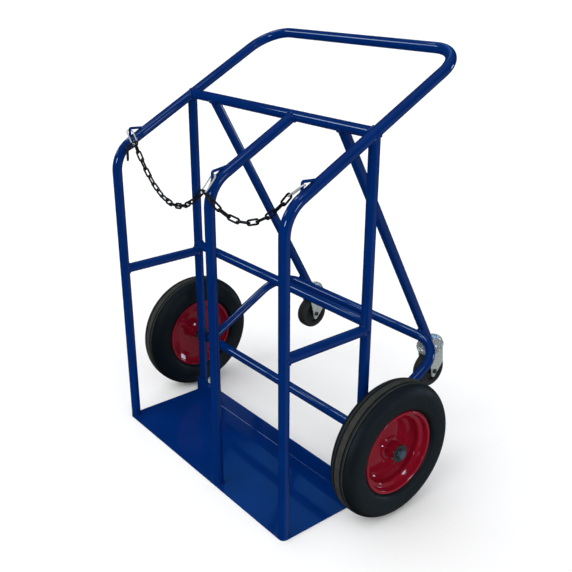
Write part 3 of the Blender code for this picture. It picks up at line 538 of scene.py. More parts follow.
def metal(name, dull, bright, rough, scale, share):
    """Return plated steel with a faint mottle, of which a share mirrors as bare metal does."""
    noises = [(scale * times, detail) for times, detail in METAL_NOISE]
    finish, shader = surface(name, (dull, bright), rough, noises, METAL_SHINE, METAL_GRAIN)
    shader.inputs["Metallic"].default_value = share
    return finish


def rubber(name, deep, light, rough):
    """Return moulded rubber or plastic with a fine grain."""
    return surface(name, (deep, light), rough, RUBBER_NOISE, RUBBER_SHINE, RUBBER_GRAIN)[0]


def maths(tree, operation, first, second):
    """Return the result of one sum on a value and a value or number."""
    node = tree.nodes.new("ShaderNodeMath")
    node.operation = operation
    for socket, value in zip(node.inputs, (first, second)):
        if isinstance(value, (int, float)):
            socket.default_value = value
        else:
            tree.links.new(value, socket)
    return node.outputs["Value"]


def tyre_rubber():
    """Return tyre rubber: blue-black walls, a dusty olive-grey running band, side ribs painted partway to
    that grey and a painted highlight line along each ridge.
    """
    finish, tree, shader, place = new_material("tyre_wall_and_tread")
    wall, tread, gloss, grain = TYRE_NOISE
    split = tree.nodes.new("ShaderNodeSeparateXYZ")
    tree.links.new(place, split.inputs["Vector"])
    flat = [maths(tree, "POWER", split.outputs[axis], 2) for axis in ("X", "Y")]
    reach = maths(tree, "SQRT", maths(tree, "ADD", *flat), 0)
    raised = maths(tree, "GREATER_THAN", reach, TYRE_R - DUST_DEPTH)
    side = maths(tree, "ABSOLUTE", split.outputs["Z"], 0)
    band = (TREAD_BAND_HALF, TREAD_BAND_HALF + TREAD_GROOVE_WIDTH)
    # The side ribs are painted partway to the band's grey
    flank = maths(tree, "MULTIPLY", raised, spread(tree, side, band, 1.0, RIB_GREY_SHARE))
    # A thin pale line along each shoulder ridge is a painted highlight; it joins the band's and ribs' grey in
    # one mask
    off_ridge = maths(tree, "SUBTRACT", side, SHOULDER_RIB - RIDGE_HIGHLIGHT_HALF)
    painted_highlight_line = maths(tree, "LESS_THAN", maths(tree, "ABSOLUTE", off_ridge, 0), RIDGE_HIGHLIGHT_HALF)
    tread_grey_and_highlight = maths(tree, "MAXIMUM", flank, maths(tree, "MULTIPLY", painted_highlight_line, raised))
    mix = tree.nodes.new("ShaderNodeMix")
    mix.data_type = "RGBA"
    tree.links.new(tread_grey_and_highlight, mix.inputs["Factor"])
    tree.links.new(mottled(tree, place, wall, WALL_DEEP, WALL_LIGHT), mix.inputs["A"])
    tree.links.new(mottled(tree, place, tread, TREAD_DEEP, TREAD_LIGHT), mix.inputs["B"])
    tree.links.new(mix.outputs["Result"], shader.inputs["Base Color"])
    shine = spread(tree, noise(tree, place, *gloss), NOISE_RANGE, *TYRE_GLOSS)
    rough = maths(tree, "ADD", shine, maths(tree, "MULTIPLY", tread_grey_and_highlight, TYRE_PALE_GLOSS))
    tree.links.new(rough, shader.inputs["Roughness"])
    shader.inputs["Specular IOR Level"].default_value = TYRE_SPECULAR
    bump(tree, shader, noise(tree, place, *grain), TYRE_GRAIN)
    return finish


BLUE = paint("blue_gloss_paint", (0.0002, 0.0145, 0.0960), (0.0004, 0.0185, 0.1220), 0.06, 1.0)
PLATE_BLUE = paint("blue_plate_paint", (0.0003, 0.0165, 0.1110), (0.0006, 0.0215, 0.1410), 0.09, 0.5)
RED = paint("dark_red_gloss_paint", (0.1600, 0.0030, 0.0110), (0.2050, 0.0045, 0.0150), 0.06, 1.0)
ZINC = metal("bright_zinc_plate", (0.50, 0.54, 0.52), (0.57, 0.61, 0.59), 0.30, 90, 0.50)
HEAD_ZINC = metal("polished_zinc_plate", (0.68, 0.72, 0.70), (0.76, 0.80, 0.78), 0.15, 90, 0.78)
HOOK_ZINC = metal("hook_zinc_plate", (0.60, 0.63, 0.63), (0.76, 0.79, 0.78), 0.30, 120, 0.5)
WASHER_ZINC = metal("dull_zinc_plate", (0.045, 0.050, 0.047), (0.085, 0.090, 0.087), 0.28, 160, 0.8)
BOLT_STEEL = metal("blue_grey_plate", (0.05, 0.08, 0.11), (0.08, 0.12, 0.16), 0.34, 200, 0.5)
STEEL = metal("plain_steel", (0.30, 0.31, 0.32), (0.42, 0.43, 0.44), 0.36, 150, 0.8)
TYRE = tyre_rubber()
CASTOR_RUBBER = rubber("castor_tread_rubber", (0.010, 0.010, 0.010), (0.018, 0.017, 0.016), 0.55)
CORE_PLASTIC = rubber("castor_core_plastic", (0.004, 0.0045, 0.005), (0.008, 0.0085, 0.009), 0.40)
BUSH_PLASTIC = rubber("bush_plastic", (0.42, 0.41, 0.37), (0.52, 0.51, 0.47), 0.50)
CHAIN_BLACK = rubber("black_chain_coat", (0.004, 0.004, 0.0045), (0.008, 0.008, 0.009), 0.28)


# Frame
def front_path(x, end_y):
    """Return corner points of a front tube that rises and then slopes back."""
    return [(x, 0, FOOT_Z), (x, 0, BEND_Z), (x, end_y, BEND_Z + end_y * math.tan(SLOPE))]


def blue_tube(node, *corners):
    """Show one painted frame tube in place of its node."""
    path = rounded_path(corners, BEND_R, BEND_STEPS)
    piece("tube_" + node, tube(path), BLUE, "frame", [node])


def strut_line(side):
    """Return the upper and lower end of a strut, which runs along its castor's swivel axis."""
    axis = joint_axis("castor_swivel_" + side)
    low = joint_at("castor_swivel_" + side) + axis * CASTOR_CUP_H
    return low + axis * ((REAR_Y - low.y) / axis.y), low


def castor_frame_corners():
    """Return the corners of the bent tube between the axle tube and the struts."""
    reach = CASTOR_FRAME
    return [
        (-reach.x, AXLE.y, AXLE.z),
        (-reach.x, reach.y, reach.z),
        (reach.x, reach.y, reach.z),
        (reach.x, AXLE.y, AXLE.z),
    ]


def make_tubes():
    """Show the welded tubes."""
    hoop = front_path(-HALF_WIDTH, HANDLE_Y) + front_path(HALF_WIDTH, HANDLE_Y)[::-1]
    blue_tube("hoop", *hoop)
    blue_tube("middle_post", *front_path(POST_X, REAR_Y))
    for node, height in (("upper_cross_bar", BACK_Z), ("mid_cross_bar", MID_BAR_Z)):
        blue_tube(node, (-HALF_WIDTH, REAR_Y, height), (HALF_WIDTH, REAR_Y, height))
    for side, x in SIDES:
        blue_tube("upright_" + side, (x, REAR_Y, FOOT_Z), (x, REAR_Y, BACK_Z))
        blue_tube("side_rail_" + side, (x, 0, SIDE_RAIL_Z), (x, REAR_Y, SIDE_RAIL_Z))
        blue_tube("strut_" + side, *strut_line(side))
    blue_tube("axle_tube", (-AXLE_TUBE_END, AXLE.y, AXLE.z), (AXLE_TUBE_END, AXLE.y, AXLE.z))
    blue_tube("castor_frame", *castor_frame_corners())


# Welds
def saddle(centre, branch, main, radius):
    """Return the closed line where a branch leaves a frame tube, and the way out at each point."""
    across = branch.orthogonal().normalized()
    along = branch.cross(across)
    lean = branch - main * branch.dot(main)
    count = max(BEAD_MIN_POINTS, round(2 * math.pi * radius / (BEAD_PITCH / RIPPLE_POINTS)))
    line = []
    for angle in angles(count):
        outward = across * math.cos(angle) + along * math.sin(angle)
        start = outward * radius
        offset = start - main * start.dot(main)
        half = offset.dot(lean)
        room = half * half - lean.length_squared * (offset.length_squared - TUBE_R * TUBE_R)
        travel = (math.sqrt(max(room, 0)) - half) / lean.length_squared
        line.append((centre + start + branch * travel, outward))
    return line


def add_bead(bm, line, radius, loop):
    """Add a rippled weld bead along a line of points, each with a way out from the joint."""
    rings = []
    count = len(line)
    travelled = 0.0
    for index, (point, outward) in enumerate(line):
        before = line[index - 1][0] if loop or index else point
        after = line[(index + 1) % count][0] if loop or index < count - 1 else point
        direction = (after - before).normalized()
        across = (outward - direction * outward.dot(direction)).normalized()
        size = radius * (1 + BEAD_RIPPLE * math.cos(2 * math.pi * travelled / BEAD_PITCH))
        if not loop:
            share = min(index, count - 1 - index) / (count - 1)
            size *= min(1, BEAD_END_SHARE + BEAD_END_TAPER * share)
        rings.append(circle(point, across, direction.cross(across), size, BEAD_SIDES))
        travelled += (after - point).length
    add_skin(bm, rings, loop)


def foot_arc(x, start, end):
    """Return the line of the weld round part of a tube's foot on the toe plate."""
    line = []
    for step in range(FOOT_ARC_STEPS + 1):
        angle = math.radians(start + (end - start) * step / FOOT_ARC_STEPS)
        outward = Vector((math.cos(angle), math.sin(angle), 0))
        line.append((Vector((x, 0, PLATE_T)) + outward * TUBE_R, outward))
    return line


def contact_ring(centre, first, second):
    """Return the closed line of a weld round the point where two crossing tubes touch."""
    normal = first.cross(second)
    fall = TUBE_R - math.sqrt(TUBE_R**2 - CONTACT_BEAD_RING**2)
    line = []
    for angle in angles(CONTACT_RING_STEPS):
        outward = first * math.cos(angle) + second * math.sin(angle)
        shift = normal * (fall / 2 * math.cos(2 * angle))
        line.append((centre + outward * CONTACT_BEAD_RING + shift, outward))
    return line


def seam_line(x):
    """Return the line of a weld up the toe plate's folded edge, beside a rear upright."""
    y = REAR_Y - TUBE_R + CONTACT_BEAD_RING**2 / (4 * TUBE_R)
    line = []
    for step in range(SEAM_STEPS + 1):
        height = FOOT_Z + BEAD_R + (UPSTAND_Z - FOOT_Z - 2 * BEAD_R) * step / SEAM_STEPS
        line.append((Vector((x, y, height)), RIGHT))
    return line


def tube_joints():
    """Return each place where a tube ends on another, with the ways that the two tubes run."""
    slope = Vector((0, math.cos(SLOPE), math.sin(SLOPE)))
    joints = []
    for side, x in SIDES:
        inward = RIGHT if side == "left" else -RIGHT
        top, low = strut_line(side)
        start, corner = [Vector(point) for point in castor_frame_corners()[:2]]
        start.x = math.copysign(start.x, x)
        corner.x = start.x
        back = Vector((x, REAR_Y, BACK_Z))
        joints += [
            (back, -UP, slope),
            (back, inward, slope),
            (Vector((x, REAR_Y, MID_BAR_Z)), inward, UP),
            (Vector((x, 0, SIDE_RAIL_Z)), REARWARD, UP),
            (Vector((x, REAR_Y, SIDE_RAIL_Z)), -REARWARD, UP),
            (top, (low - top).normalized(), RIGHT),
            (start, (corner - start).normalized(), RIGHT),
        ]
    joints.append((Vector((POST_X, REAR_Y, BACK_Z)), -slope, RIGHT))
    return joints


def make_welds():
    """Show the painted weld beads of the frame."""
    bm = bmesh.new()
    for centre, branch, main in tube_joints():
        add_bead(bm, saddle(centre, branch, main, TUBE_R), BEAD_R, True)
    for x, arc in zip((-HALF_WIDTH, HALF_WIDTH, POST_X), FOOT_ARCS):
        add_bead(bm, foot_arc(x, *arc), BEAD_R, False)
    for side, x in SIDES:
        touch = Vector((x, (REAR_Y + AXLE.y) / 2, AXLE.z))
        add_bead(bm, contact_ring(touch, UP, RIGHT), BEAD_R, True)
        top, low = strut_line(side)
        run = (low - top).normalized()
        bar = Vector((top.x, CASTOR_FRAME.y, CASTOR_FRAME.z))
        nearest = top + run * (bar - top).dot(run)
        add_bead(bm, contact_ring((bar + nearest) / 2, run, RIGHT), BEAD_R, True)
        for offset in (-CONTACT_BEAD_RING, CONTACT_BEAD_RING):
            add_bead(bm, seam_line(x + offset), SEAM_BEAD_R, False)
    for name, x, y in eye_places():
        foot = Vector((x, y, tube_top(y) - TUBE_R))
        add_bead(bm, saddle(foot, UP, RIGHT, EYE_ROD_R), SMALL_BEAD_R, True)
    piece("weld_beads", bm, BLUE, "frame")


# Chain eyes
def tube_top(y):
    """Return the height of the top of a front tube at a given depth."""
    reach = BEND_R + TUBE_R
    if y > BEND_R - reach * math.sin(SLOPE):
        return BEND_Z + y * math.tan(SLOPE) + TUBE_R / math.cos(SLOPE)
    centre_z = BEND_Z - BEND_R * math.tan((math.pi / 2 - SLOPE) / 2)
    return centre_z + math.sqrt(reach**2 - (BEND_R - y) ** 2)


def eye_places():
    """Return the name, x and y of each eye's front leg."""
    places = []
    for name in ("left", "middle", "right"):
        low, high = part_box("eye_" + name)
        places.append((name, (low.x + high.x) / 2, low.y + EYE_ROD_R))
    return places


def make_eyes():
    """Show the rod eyes on the front tubes."""
    for name, x, y in eye_places():
        corner_z = tube_top(y) + EYE_HEIGHT
        fall = (corner_z - tube_top(y + EYE_RUN)) / EYE_RUN
        reach = EYE_RUN + TUBE_R / 2
        foot = (x, y, tube_top(y) - TUBE_R / 2)
        points = [foot, (x, y, corner_z), (x, y + reach, corner_z - fall * reach)]
        path = rounded_path(points, EYE_BEND_R, WIRE_BEND_STEPS)
        rod = skin(path_rings(path, EYE_ROD_R, ROD_SIDES), False)
        piece("rod_eye_" + name, rod, BLUE, "frame", ["eye_" + name])


# Bolts, nuts and washers
def hexagon_rings(radius, bottom, top):
    """Return rings of a hexagon head, from its bottom to its chamfered top."""
    flat = radius * math.cos(math.pi / 6)
    rings = [[], [], []]
    for angle in angles(HEX_SEGMENTS):
        reach = flat / math.cos((angle + math.pi / 6) % (math.pi / 3) - math.pi / 6)
        way = Vector((math.cos(angle), math.sin(angle), 0))
        inner = flat * HEX_CHAMFER
        drop = (reach - inner) * math.tan(math.pi / 6)
        for ring, size, height in zip(rings, (reach, reach, inner), (bottom, top - drop, top)):
            ring.append(way * size + UP * height)
    return rings


def round_ring(radius, height):
    """Return one ring round Z, with as many points as a hexagon has."""
    return circle(UP * height, RIGHT, REARWARD, radius, HEX_SEGMENTS)


def bolt(head_radius, head_height, shank_radius, shank_length):
    """Return a hexagon bolt on Z, with its head above zero."""
    rings = hexagon_rings(head_radius, 0, head_height)[::-1]
    rings += [round_ring(shank_radius, 0), round_ring(shank_radius, -shank_length)]
    return skin(rings, False)


def nut(radius, height, bore):
    """Return a hexagon nut on Z with its lower face at zero."""
    rings = hexagon_rings(radius, 0, height)
    rings += [round_ring(bore, height), round_ring(bore, 0)]
    return skin(rings, True)


def washer(outer, bore, bottom):
    """Return a washer on Z with rounded edges."""
    top = bottom + WASHER_T
    edge = filleted([(bore, top), (outer, top), (outer, bottom), (bore, bottom)], WASHER_EDGE_R)
    return turned(edge, SMALL_SEGMENTS)


# Large wheels
def rim_section():
    """Return the section of a pressed rim: lip, channel, barrel, dished disc and hub."""
    wall = RIM_WALL
    lip = RIM_HALF_WIDTH
    seat_in = RIM_SEAT_R - wall
    well_in = RIM_WELL_R - wall
    disc = -RIM_DISC_INSET
    floor = disc - RIM_DISC_DROP
    flange = [
        (seat_in - wall / 4, lip - 3 * wall),
        (seat_in, lip - wall / 2),
        (seat_in + wall, lip),
        (RIM_LIP_R - wall, lip),
        (RIM_LIP_R, lip - wall),
        (RIM_SEAT_R, lip - 1.5 * wall),
        (RIM_SEAT_R, lip / 2 + 2 * wall),
    ]
    corners = [
        (HUB_BORE_R, HUB_HALF_LENGTH),
        (HUB_R, HUB_HALF_LENGTH),
        (HUB_R, disc + 2.4 * wall),
        (HUB_ROOT_R - wall, disc + 1.8 * wall),
        (HUB_ROOT_R, disc),
        (RIM_DISC_R, floor),
        (RIM_DISC_R + 3 * wall, floor + 2 * wall),
        (well_in, floor + 5 * wall),
        (well_in, lip / 3),
        (RIM_WELL_R, lip / 2 - wall),
        (seat_in - wall, lip / 2 + wall / 2),
        *flange,
        (RIM_WELL_R, lip / 2 - 2 * wall),
        (RIM_WELL_R, -lip / 2 + wall),
        *[(radius, -height) for radius, height in flange[::-1]],
        (well_in, -lip / 2),
        (RIM_DISC_R, floor - wall),
        (HUB_ROOT_R, disc - wall),
        (HUB_R, disc - 2 * wall),
        (HUB_R, -HUB_HALF_LENGTH),
        (HUB_BORE_R, -HUB_HALF_LENGTH),
    ]
    return filleted(corners, RIM_FILLET)


def wall_point(angle):
    """Return a point of the tyre's round wall, at an angle from the tread to the widest place."""
    bulge_r = (TYRE_R + RIM_LIP_R) / 2
    rise = (TYRE_R - bulge_r) * math.cos(angle)
    return bulge_r + rise, TREAD_BAND_HALF + (TYRE_HALF_WIDTH - TREAD_BAND_HALF) * math.sin(angle)


def tyre_section():
    """Return the section of a ribbed tyre: running band, side ribs, round walls and beads."""
    crown = TYRE_R
    groove = crown - TREAD_GROOVE_DEPTH
    groove_end = TREAD_BAND_HALF + TREAD_GROOVE_WIDTH
    rib_r = wall_point(math.asin((SHOULDER_RIB - TREAD_BAND_HALF) / (TYRE_HALF_WIDTH - TREAD_BAND_HALF)))[0]
    tread = filleted(
        [
            (crown, 0),
            (crown, TREAD_BAND_HALF),
            (groove, TREAD_BAND_HALF + TREAD_GROOVE_DRAFT),
            (groove, groove_end - TREAD_GROOVE_DRAFT),
            (crown - SHOULDER_DROP, groove_end),
            (rib_r, SHOULDER_RIB),
            (rib_r - RIDGE_STEP[0], SHOULDER_RIB + RIDGE_STEP[1]),
            (rib_r - RIDGE_FOOT[0], SHOULDER_RIB + RIDGE_FOOT[1]),
        ],
        TREAD_FILLET,
    )
    wall = [wall_point(math.radians(angle)) for angle in WALL_ANGLES]
    below = [(RIM_LIP_R + rise, TYRE_HALF_WIDTH - inset) for rise, inset in WALL_FOOT]
    below += [(RIM_LIP_R + rise, RIM_HALF_WIDTH + out) for rise, out in BEAD_TURN]
    bead = [(RIM_SEAT_R + 2 * GAP, RIM_HALF_WIDTH - inset) for inset in BEAD_SEAT]
    bead += [(crown - depth, TYRE_HALF_WIDTH - inset) for depth, inset in CASING]
    return mirrored((list(tread) + list(curved(wall + below)) + bead)[1:])


def make_wheel(side, sign):
    """Show one large wheel with its bush, washers and end bolt."""
    body = "wheel_" + side
    place = Matrix.Translation(joint_at("wheel_spin_" + side)) @ Matrix.Rotation(sign * math.pi / 2, 4, "Y")
    tyre = turned(tyre_section(), WHEEL_SEGMENTS)
    piece("ribbed_tyre_" + side, tyre, TYRE, body, ["tyre_" + side], place, True)
    rim = turned(rim_section(), WHEEL_SEGMENTS)
    piece("pressed_rim_" + side, rim, RED, body, ["rim_" + side, "wheel_disc_" + side], place)
    dress("wheel_bearing_" + side, BUSH_PLASTIC)
    low = HUB_HALF_LENGTH + GAP
    outer = washer(WASHER_R, END_BOLT_R + GAP, low)
    piece("end_washer_" + side, outer, WASHER_ZINC, "frame", ["outer_washer_" + side], place)
    inner = washer(WASHER_R, AXLE_R + GAP, -low - WASHER_T)
    piece("hub_washer_" + side, inner, WASHER_ZINC, "frame", ["inner_washer_" + side], place)
    seat = place @ Matrix.Translation((0, 0, low + WASHER_T + GAP))
    end_bolt = bolt(END_BOLT_HEAD_R, END_BOLT_HEAD_H, END_BOLT_R, END_BOLT_LENGTH - GAP)
    piece("end_bolt_" + side, end_bolt, BOLT_STEEL, "frame", ["axle_bolt_" + side], seat)


# Castors
def castor_cup_section():
    """Return the section of the cup between a strut's end and the swivel head."""
    wall = CASTOR_HEAD_WALL
    bore = KING_BOLT_R + GAP
    corners = [
        (bore, CASTOR_CUP_H - GAP),
        (TUBE_R + wall, CASTOR_CUP_H - GAP),
        (TUBE_R + wall, CASTOR_CUP_H / 2),
        (CASTOR_CUP_R - wall / 2, CASTOR_CUP_H / 3),
        (CASTOR_CUP_R, CASTOR_CUP_H / 4),
        (CASTOR_CUP_R, GAP),
        (bore, GAP),
    ]
    return filleted(corners, CASTOR_CUP_FILLET)


def fork_head_section():
    """Return the section of the round swivel head."""
    rim = CASTOR_HEAD_R
    wall = CASTOR_HEAD_WALL
    bore = KING_BOLT_R + GAP
    groove = CASTOR_HEAD_H / 2
    corners = [
        (bore, 0),
        (CASTOR_CUP_R - wall / 4, 0),
        (CASTOR_CUP_R, -wall * 0.8),
        (CASTOR_CUP_R + wall, -wall * 0.8),
        (CASTOR_CUP_R + wall * 1.3, 0),
        (rim - wall / 2, 0),
        (rim, -wall / 2),
        (rim, -groove + wall * 0.45),
        (rim - wall * 0.9, -groove + wall / 5),
        (rim - wall * 0.9, -groove - wall / 5),
        (rim, -groove - wall * 0.45),
        (rim, -CASTOR_HEAD_H),
        (rim - wall, -CASTOR_HEAD_H),
        (rim - wall * 1.5, -wall),
        (bore, -wall),
    ]
    return filleted(corners, CASTOR_HEAD_FILLET)


def leg_outline():
    """Return the outline of a fork leg in its own plane, as trail and height."""
    chord = math.sqrt(CASTOR_HEAD_R**2 - FORK_HALF_WIDTH**2) - CASTOR_HEAD_WALL
    spots = []
    for trail in (-chord, chord):
        spots.append(Vector((trail, -CASTOR_HEAD_WALL / 2)))
        spots.append(Vector((trail, -FORK_SHOULDER_DROP)))
    heel = Vector((0, FORK_HEEL_LIFT - CASTOR_DROP))
    tip = Vector((-CASTOR_TRAIL - FORK_TIP_TRAIL, -CASTOR_DROP - FORK_TIP_DROP))
    for corner in (heel, tip):
        for angle in angles(HEX_SEGMENTS):
            spots.append(corner + FORK_CORNER_R * Vector((math.cos(angle), math.sin(angle))))
    return [spots[index] for index in convex_hull_2d(spots)]


def add_leg(bm, sign):
    """Add one pressed fork leg with a softened edge and a raised panel."""
    outline = leg_outline()
    middle = sum(outline, Vector((0, 0))) / len(outline)
    outer = sign * FORK_HALF_WIDTH
    inner = sign * (FORK_HALF_WIDTH - FORK_T)
    soft = FORK_T / 4
    raised = outer + sign * FORK_EMBOSS
    sizes = (1.0, 1.0, FORK_EDGE, *FORK_PANEL)
    layers = zip((inner, outer - sign * soft, outer, outer, raised, raised), sizes)
    rings = []
    for x, size in layers:
        ring = [middle.lerp(point, size) for point in outline]
        rings.append([Vector((x, point.x, point.y)) for point in ring])
    add_skin(bm, rings, False)


def make_castor_fork(side, place):
    """Show a castor's cup, king nut, swivel head and fork."""
    body = "castor_" + side
    cup = turned(castor_cup_section(), SMALL_SEGMENTS)
    piece("swivel_cup_" + side, cup, HEAD_ZINC, "frame", ["castor_cup_" + side], place)
    dress("castor_stem_" + side, STEEL)
    seat = Matrix.Translation((0, 0, -CASTOR_HEAD_WALL - GAP))
    under = place @ seat @ Matrix.Rotation(math.pi, 4, "X")
    king = nut(KING_NUT_R, KING_NUT_H, KING_BOLT_R + GAP)
    piece("king_nut_" + side, king, ZINC, "frame", ["castor_king_nut_" + side], under)
    head = turned(fork_head_section(), SMALL_SEGMENTS)
    piece("swivel_head_" + side, head, HEAD_ZINC, body, matrix=place)
    fork = bmesh.new()
    add_leg(fork, -1)
    add_leg(fork, 1)
    piece("pressed_fork_" + side, fork, ZINC, body, ["castor_fork_" + side], place)


def make_castor_wheel(side, axle):
    """Show a castor wheel's tread and its moulded disc."""
    wheel = "castor_wheel_" + side
    width = CASTOR_WHEEL_HALF_WIDTH
    crown = (CASTOR_WHEEL_R - CASTOR_CORE_R) / 3
    tyre = [
        (CASTOR_CORE_R, 0),
        (CASTOR_CORE_R, width - crown / 3),
        (CASTOR_CORE_R + crown / 2, width),
        (CASTOR_CORE_R + 1.9 * crown, width),
        (CASTOR_WHEEL_R - crown / 4, width - crown * 0.75),
        (CASTOR_WHEEL_R, width - 2 * crown),
        (CASTOR_WHEEL_R, 0),
    ]
    tread = turned(mirrored(filleted(tyre, CASTOR_TYRE_FILLET)[1:-1]), SMALL_SEGMENTS)
    node = "castor_tyre_" + side
    piece("castor_tread_" + side, tread, CASTOR_RUBBER, wheel, [node], axle)
    hub_half = FORK_HALF_WIDTH - FORK_T - GAP
    rim_in = CASTOR_CORE_R - crown
    core = [
        (CASTOR_AXLE_R + GAP, 0),
        (CASTOR_AXLE_R + GAP, hub_half),
        (CASTOR_HUB_R, hub_half),
        (CASTOR_HUB_R + CASTOR_CORE_DRAFT, width / 2),
        (rim_in - 2 * CASTOR_CORE_DRAFT, width / 2),
        (rim_in, width - crown / 2),
        (CASTOR_CORE_R - GAP, width - crown / 2),
        (CASTOR_CORE_R - GAP, 0),
    ]
    disc = turned(mirrored(filleted(core, CASTOR_CORE_FILLET)[1:-1]), SMALL_SEGMENTS)
    piece("castor_disc_" + side, disc, CORE_PLASTIC, wheel, ["castor_core_" + side], axle)


def make_castor_bolt(side, axle):
    """Show the bolt and the nut that hold a castor wheel."""
    body = "castor_" + side
    seat = FORK_HALF_WIDTH + FORK_EMBOSS + GAP
    outside = axle @ Matrix.Translation((0, 0, seat))
    shank = 2 * FORK_HALF_WIDTH + CASTOR_NUT_H + FORK_EMBOSS
    screw = bolt(CASTOR_BOLT_HEAD_R, CASTOR_BOLT_HEAD_H, CASTOR_AXLE_R, shank)
    piece("castor_screw_" + side, screw, WASHER_ZINC, body, ["castor_bolt_" + side], outside)
    back = axle @ Matrix.Translation((0, 0, -seat)) @ Matrix.Rotation(math.pi, 4, "X")
    lock = nut(CASTOR_BOLT_HEAD_R, CASTOR_NUT_H, CASTOR_AXLE_R + GAP)
    piece("castor_lock_nut_" + side, lock, ZINC, body, ["castor_nut_" + side], back)


def make_castor(side):
    """Show one castor at its swivel, which leans as its strut does."""
    axis = joint_axis("castor_swivel_" + side)
    turn = Matrix((RIGHT, axis.cross(RIGHT), axis)).transposed().to_4x4()
    place = Matrix.Translation(joint_at("castor_swivel_" + side)) @ turn
    hub = Matrix.Translation((0, -CASTOR_TRAIL, -CASTOR_DROP)) @ Matrix.Rotation(math.pi / 2, 4, "Y")
    make_castor_fork(side, place)
    make_castor_wheel(side, place @ hub)
    make_castor_bolt(side, place @ hub)


# Snap hooks and chain
def hook_frame(name):
    """Return the frame of a snap hook at its bow: X across, Y towards the eye, from its gate's place."""
    pivot = joint_at("gate_open_" + name)
    normal = -joint_axis("gate_open_" + name)
    spots = [vertex.co for vertex in NODES["hook_gate_" + name].data.vertices]
    reach = max((spot - pivot).length for spot in spots)
    tip = [spot for spot in spots if (spot - pivot).length > reach - GAP]
    along = (sum(tip, Vector()) / len(tip) - pivot).normalized()
    across = along.cross(normal)
    bow = pivot + across * HOOK_HALF_WIDTH - along * (HOOK_GATE_START + GAP + HOOK_WIRE_R)
    return Matrix.Translation(bow) @ Matrix((across, along, normal)).transposed().to_4x4()


def make_hook(name):
    """Show one snap hook and its gate."""
    half = HOOK_HALF_WIDTH
    points = [
        (-half, HOOK_GATE_START + HOOK_GATE_LENGTH, 0),
        (-half, HOOK_LENGTH, 0),
        (half, HOOK_LENGTH, 0),
        (half, 0, 0),
        (-half, 0, 0),
        (-half, HOOK_GATE_START, 0),
    ]
    path = rounded_path(points, half - GAP, WIRE_BEND_STEPS)
    wire = skin(path_rings(path, HOOK_WIRE_R, WIRE_SIDES), False)
    place = hook_frame(name)
    piece("hook_wire_" + name, wire, HOOK_ZINC, "frame", ["snap_hook_" + name], place)
    top = HOOK_GATE_LENGTH - HOOK_WIRE_R - 2 * GAP
    profile = []
    for step in range(1, WIRE_BEND_STEPS + 1):
        angle = math.pi / 2 * step / WIRE_BEND_STEPS
        profile.append((HOOK_WIRE_R * math.sin(angle), -HOOK_WIRE_R * math.cos(angle)))
    profile += filleted([(HOOK_WIRE_R, 0), (HOOK_WIRE_R, top), (HOOK_GATE_TIP_R, top)], HOOK_GATE_FILLET)[1:]
    gate = turned(profile, WIRE_SIDES, False)
    seat = Matrix.Translation((-half, HOOK_GATE_START + GAP + HOOK_WIRE_R, 0))
    lay = Matrix.Rotation(-math.pi / 2, 4, "X")
    bar = "gate_" + name
    piece("gate_bar_" + name, gate, HOOK_ZINC, bar, ["hook_gate_" + name], place @ seat @ lay)


def hanging_points(start, end, sag, count):
    """Return points spaced evenly along a hanging run, and the run's length."""
    fine = []
    for index in range(CHAIN_SAMPLES + 1):
        share = index / CHAIN_SAMPLES
        fine.append(start.lerp(end, share) - UP * (4 * sag * share * (1 - share)))
    travelled = [0.0]
    for first, second in zip(fine, fine[1:]):
        travelled.append(travelled[-1] + (second - first).length)
    points = []
    index = 0
    for step in range(count + 1):
        target = travelled[-1] * step / count
        while index < CHAIN_SAMPLES - 1 and travelled[index + 1] < target:
            index += 1
        part = (target - travelled[index]) / (travelled[index + 1] - travelled[index])
        points.append(fine[index].lerp(fine[index + 1], part))
    return points, travelled[-1]


def chain_points(start, end, count):
    """Return the points where the links of a span meet."""
    low = 0.0
    high = (end - start).length
    for trial in range(SAG_TRIALS):
        sag = (low + high) / 2
        if hanging_points(start, end, sag, 1)[1] < count * LINK_PITCH:
            low = sag
        else:
            high = sag
    return hanging_points(start, end, low, count)[0]


def level_and_raised(along):
    """Return two unit vectors square to a link: a level one and one that points up."""
    level = along.cross(UP).normalized()
    return level, level.cross(along).normalized()


def link_roll(along, normal):
    """Return the roll that brings a link's normal nearest to a wanted direction."""
    level, raised = level_and_raised(along)
    return math.atan2(normal.dot(raised), normal.dot(level))


def link_rings(first, second, roll):
    """Return the rings of one link between two joints of the chain."""
    along = (second - first).normalized()
    level, raised = level_and_raised(along)
    normal = level * math.cos(roll) + raised * math.sin(roll)
    across = normal.cross(along)
    centre = (first + second) / 2
    radius = LINK_WIDTH / 2 - LINK_WIRE_R
    reach = LINK_PITCH / 2 + LINK_WIRE_R - radius
    rings = []
    for end in (1, -1):
        for step in range(LINK_END_STEPS + 1):
            angle = math.pi * step / LINK_END_STEPS - math.pi / 2
            outward = end * (along * math.cos(angle) + across * math.sin(angle))
            point = centre + along * (end * reach) + outward * radius
            rings.append(circle(point, normal, outward, LINK_WIRE_R, LINK_SIDES))
    return rings


